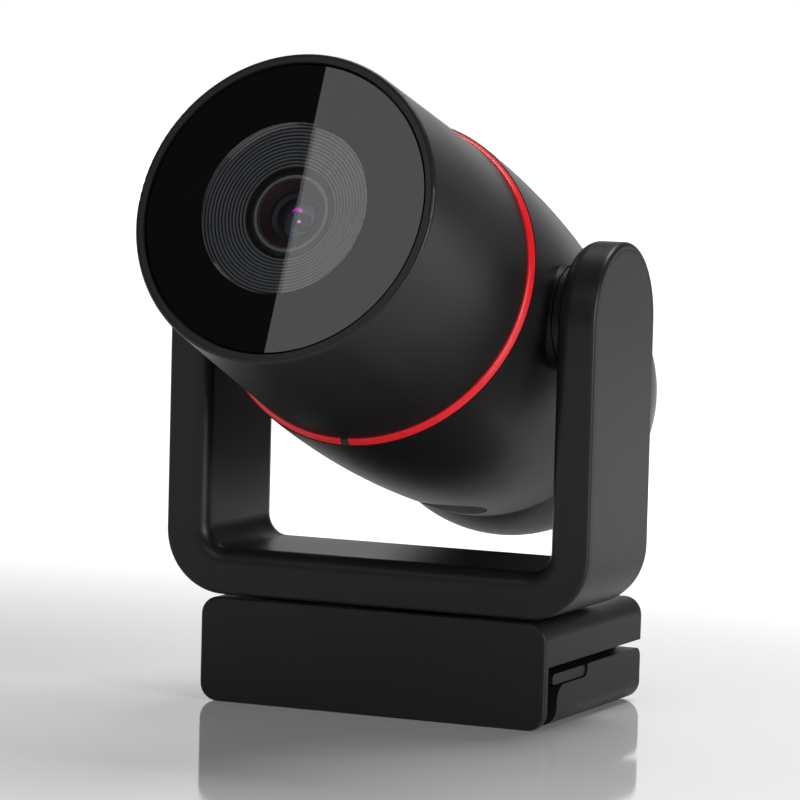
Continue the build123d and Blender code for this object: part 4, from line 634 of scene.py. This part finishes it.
# Painted sheen: the iris is coloured light blue-grey, far above black, to stand in for the sheen it gives
# back.
dress(anodised("iris_painted_blue_grey_sheen", 0.45, 0.30, tint=(0.85, 0.95, 1.15)), "iris")
print("lens trim dressed")

# %% [markdown]
# The glasses of the lens are domes. A dome's height above its rim follows a circle, so
# its profile is height(r) = sqrt(R^2 - r^2) less the same at the rim, with R worked out
# from the rim's radius and the dome's height.

# %% Coated elements
def dome(rim, bulge, steps=24):
    """Heights over the rim at radii from rim to 0 of a circular arc that rises by bulge."""
    sphere = (rim ** 2 + bulge ** 2) / (2 * bulge)
    radius = np.linspace(rim, 0, steps)
    return radius, np.sqrt(sphere ** 2 - radius ** 2) - (sphere - bulge)


def element(name, back, edge, front_bulge, back_bulge, rim):
    """Lens element: a dome in front, a rim of the given width, and a dome behind."""
    radius, rise = dome(rim, front_bulge)
    _, sag = dome(rim, back_bulge)
    front = np.stack([back + edge + rise, radius], -1)
    rear = np.stack([back - sag, radius], -1)[::-1]
    return outward(turned(name, np.vstack([rear, front]), steps=96))


def coated(name, tint, strength, centre, glints=()):
    """Coated glass: transparent, with a coloured mirror whose hue drifts towards the rim.

    Each glint is a place in millimetres along the head's axes and a size in metres. It
    stands for a reflection of a lamp, and is drawn as a spot of light on the glass."""
    finish = Finish(name, Metallic=1.0, Roughness=0.03)
    radius = finish.axis_distance(tilt_point, forward)
    hue = radius.over(centre, centre)
    finish.set(Base_Color=finish.blend(hue, (*tint[0], 1.0), (*tint[1], 1.0)))
    hole = finish.node("ShaderNodeBsdfTransparent", {}, {"Color": (0.80, 0.84, 0.86, 1.0)})
    share = finish.node("ShaderNodeFresnel", {}, {"IOR": 1.5}) * strength
    if glints:
        spots = [(finish.distance_to(head_point(*spot)), size) for *spot, size in glints]
        caught = sum(1 - distance.over(size, GLINT_BLUR * size) for distance, size in spots)
        finish.set(Emission_Color=finish.blend(caught, grey(0.0), GLINT_COLOUR), Emission_Strength=1.0)
        share = share.maths("MAXIMUM", share, GLINT_SHARE * caught)
    glass = Wire(finish, finish.shader.outputs[0])
    both = finish.node("ShaderNodeMixShader", {}, {0: share, 1: hole, 2: glass})
    finish.tree.links.new(both.socket, finish.output.inputs["Surface"])
    return finish.material


LENS_RIM = 4.35
# Painted reflections: the glints are magenta spots of emitted light on the front element, standing in for the
# lamps' reflections in its coating.
GLINT_COLOUR, GLINT_BLUR, GLINT_SHARE = (0.62, 0.004, 0.50, 1.0), 0.7, 0.75
GLINTS = [
    (-0.95, 1.60, 65.34, 0.00040),
    (-0.40, 1.90, 65.34, 0.00048),
    (0.20, 1.95, 65.34, 0.00050),
    (0.80, 1.75, 65.34, 0.00044),
    (0.85, -0.85, 65.43, 0.00034),
]
BLUE_GREY = [(0.50, 0.55, 0.70), (0.40, 0.48, 0.72)]
DULL_MAGENTA = [(0.50, 0.30, 0.55), (0.30, 0.60, 0.45)]
front_element = element("front_element", 64.1, 0.6, 0.8, 0.2, LENS_RIM)
front_element.data.materials.append(coated("blue_grey_coating", BLUE_GREY, 0.35, 0.0025, GLINTS))
inner_element = element("inner_element", 57.0, 1.2, 0.6, 0.6, LENS_RIM)
inner_element.data.materials.append(coated("magenta_coating", DULL_MAGENTA, 1.0, 0.0015))
for piece, node in ((front_element, "front_lens"), (inner_element, "inner_lens")):
    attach(piece, "head")
    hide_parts(node)

WIRE_WAVE = 9000.0
sensor = Finish("sensor_cover_glass", IOR=1.5)
wires = (sensor.node("ShaderNodeSeparateXYZ", {}, {0: sensor.place()}) * WIRE_WAVE).sine()
sensor.set(
    Base_Color=sensor.blend(0.5 + 0.5 * wires, (0.030, 0.016, 0.045, 1.0), (0.020, 0.040, 0.035, 1.0)),
    Roughness=0.12 + 0.05 * wires,
)
dress(sensor.material, "image_sensor")
print("lens elements made")

# %% [markdown]
# ## Floor and surroundings
# The object stands on a pale glossy floor in a white room. A camera that sees white
# behind black plastic has most of its light behind the object, which gives the bright
# edges. So one wall behind is bright, the sides and front are dim, and the camera itself
# sees plain white everywhere. The floor is white lacquer with a faint unevenness, and it
# gives off light of its own that grows with distance from the object: painted shade
# around the object, and further out a glow that hides the floor's far edge.

# %% Floor
floor_mesh_points = np.array([(-5, -5, 0), (5, -5, 0), (5, 5, 0), (-5, 5, 0)], float)
floor = mesh_object("studio_floor", floor_mesh_points, [(0, 1, 2, 3)])
lacquer = Finish("white_lacquer", IOR=1.9, Emission_Strength=1.0)
from_object = lacquer.distance_to((0.0, 0.0, 0.0))
# Painted shade: the floor's emission is low near the object and rises away from it.
lacquer.set(
    Emission_Color=lacquer.blend(from_object.over(0.25, 0.32), grey(0.03), grey(0.54)),
    Base_Color=lacquer.blend(lacquer.noise(0.4), grey(0.84), grey(0.88)),
    Roughness=0.05 + 0.03 * lacquer.noise(0.15),
)
floor.data.materials.append(lacquer.material)

BRIGHT_WALL = (-0.25, 0.968, 0.0)
FRONT_LEVEL, UPPER_LEVEL, SIDE_LEVEL, REAR_LEVEL = 0.19, 0.045, 0.14, 1.1


class Surroundings(Finish):
    """The same node helpers on a world instead of a material."""

    def __init__(self, world):
        world.use_nodes = True
        self.tree = world.node_tree


world = bpy.data.worlds.new("white_room")
bpy.context.scene.world = world
room = Surroundings(world)
direction = room.node("ShaderNodeTexCoord", result=0)
to_wall = {0: direction, 1: BRIGHT_WALL}
towards_back = room.node("ShaderNodeVectorMath", {"operation": "DOT_PRODUCT"}, to_wall, result=1)
height = room.node("ShaderNodeSeparateXYZ", {}, {0: direction}, result=2)
front = room.blend(height.over(0.38, 0.30), grey(FRONT_LEVEL), grey(UPPER_LEVEL))
side = room.blend(towards_back.over(0.30, 1.0), front, grey(SIDE_LEVEL))
around_light = room.blend(towards_back.over(0.95, 0.10), side, grey(REAR_LEVEL))
seen = room.node("ShaderNodeLightPath", result=0)
background = room.tree.nodes["Background"]
room.feed(background.inputs["Color"], room.blend(seen, around_light, grey(1.0)))
bpy.context.scene.view_settings.view_transform = "Standard"
print("floor and room ready")

# %% [markdown]
# ## Studio lamps
# Each lamp has one job, and is placed by that job. The large softbox is the one that the
# window mirrors: half of the glass shows it and half doesn't, and its edge is a straight
# line across the glass. A mirror's picture of a camera stands as far behind the glass as
# the camera is in front, so the softbox's edge lies on the plane through that mirrored
# camera and the line, and its place follows from the line alone.

# %% Softbox mirrored in the window
EDGE_TOP, EDGE_BOTTOM = (3.92, 30.18), (1.82, -29.61)
SOFTBOX_DISTANCE = 0.9
SOFTBOX_WIDTH, SOFTBOX_MARGIN = 0.62, 0.16

glass_centre = head_point(0, 0, GLASS_FRONT)
mirrored_camera = CAMERA_PLACE - 2 * np.dot(CAMERA_PLACE - glass_centre, forward) * forward


def through_glass(point):
    """Where the ray from the mirrored camera through a point of the glass reaches the softbox."""
    ray = point - mirrored_camera
    return point + SOFTBOX_DISTANCE * ray / np.linalg.norm(ray)


edge_high = through_glass(head_point(*EDGE_TOP, GLASS_FRONT))
edge_low = through_glass(head_point(*EDGE_BOTTOM, GLASS_FRONT))


def lamp(name, corner_a, corner_b, width, power, aim):
    """Rectangular softbox with one edge from corner_a to corner_b, turned to face aim."""
    edge = corner_b - corner_a
    height = np.linalg.norm(edge)
    edge = edge / height
    towards = aim - 0.5 * (corner_a + corner_b)
    side = np.cross(edge, towards)
    side /= np.linalg.norm(side)
    shine = np.cross(side, edge)
    shine = shine if np.dot(shine, towards) > 0 else -shine
    centre = 0.5 * (corner_a + corner_b) + 0.5 * width * side
    data = bpy.data.lights.new(name, "AREA")
    data.shape = "RECTANGLE"
    data.size, data.size_y = abs(width), height
    data.energy = power
    made = bpy.data.objects.new(name, data)
    z_axis = -shine
    x_axis = np.cross(edge, z_axis)
    made.matrix_world = placed(x_axis, edge, z_axis, centre)
    bpy.context.scene.collection.objects.link(made)
    return made


edge_direction = (edge_low - edge_high) / np.linalg.norm(edge_low - edge_high)
top_corner = edge_high - SOFTBOX_MARGIN * edge_direction
bottom_corner = edge_low + SOFTBOX_MARGIN * edge_direction
window_softbox = lamp("window_softbox", bottom_corner, top_corner, -SOFTBOX_WIDTH, 1.15, glass_centre)
print("softbox centre", [round(c, 3) for c in window_softbox.matrix_world.translation])

# %% [markdown]
# The other lamps shape the body. A strip to the right draws the broad highlight along
# the barrel, and one above and behind draws the thin bright line on its upper edge.

# %% Body lamps
def round_lamp(name, place, aim, size, power):
    """Square softbox at a place, turned to face aim."""
    place, aim = np.array(place, float), np.array(aim, float)
    shine = (aim - place) / np.linalg.norm(aim - place)
    x_axis = np.cross(shine, [0.0, 0.0, 1.0])
    x_axis /= np.linalg.norm(x_axis)
    y_axis = np.cross(x_axis, shine)
    data = bpy.data.lights.new(name, "AREA")
    data.shape = "RECTANGLE"
    data.size, data.size_y = size
    data.energy = power
    made = bpy.data.objects.new(name, data)
    made.matrix_world = placed(x_axis, y_axis, -shine, place)
    bpy.context.scene.collection.objects.link(made)
    return made


round_lamp("barrel_lamp", (1.1, -0.35, 0.35), (0, 0, 0.1), (0.5, 0.5), 6.0)
round_lamp("top_lamp", (0.1, 0.5, 1.2), (0, 0, 0.1), (0.8, 0.5), 9.0)

# %% [markdown]
# ## Check and finish
# Every CAD node must have a finish by now, so the nodes left without one are listed.

# %% Finishes
first_finish = {name: next(iter(node.data.materials), None) for name, node in nodes.items()}
bare = [name for name, finish in first_finish.items() if not finish or not finish.use_nodes]
print("nodes without a finish:", bare)
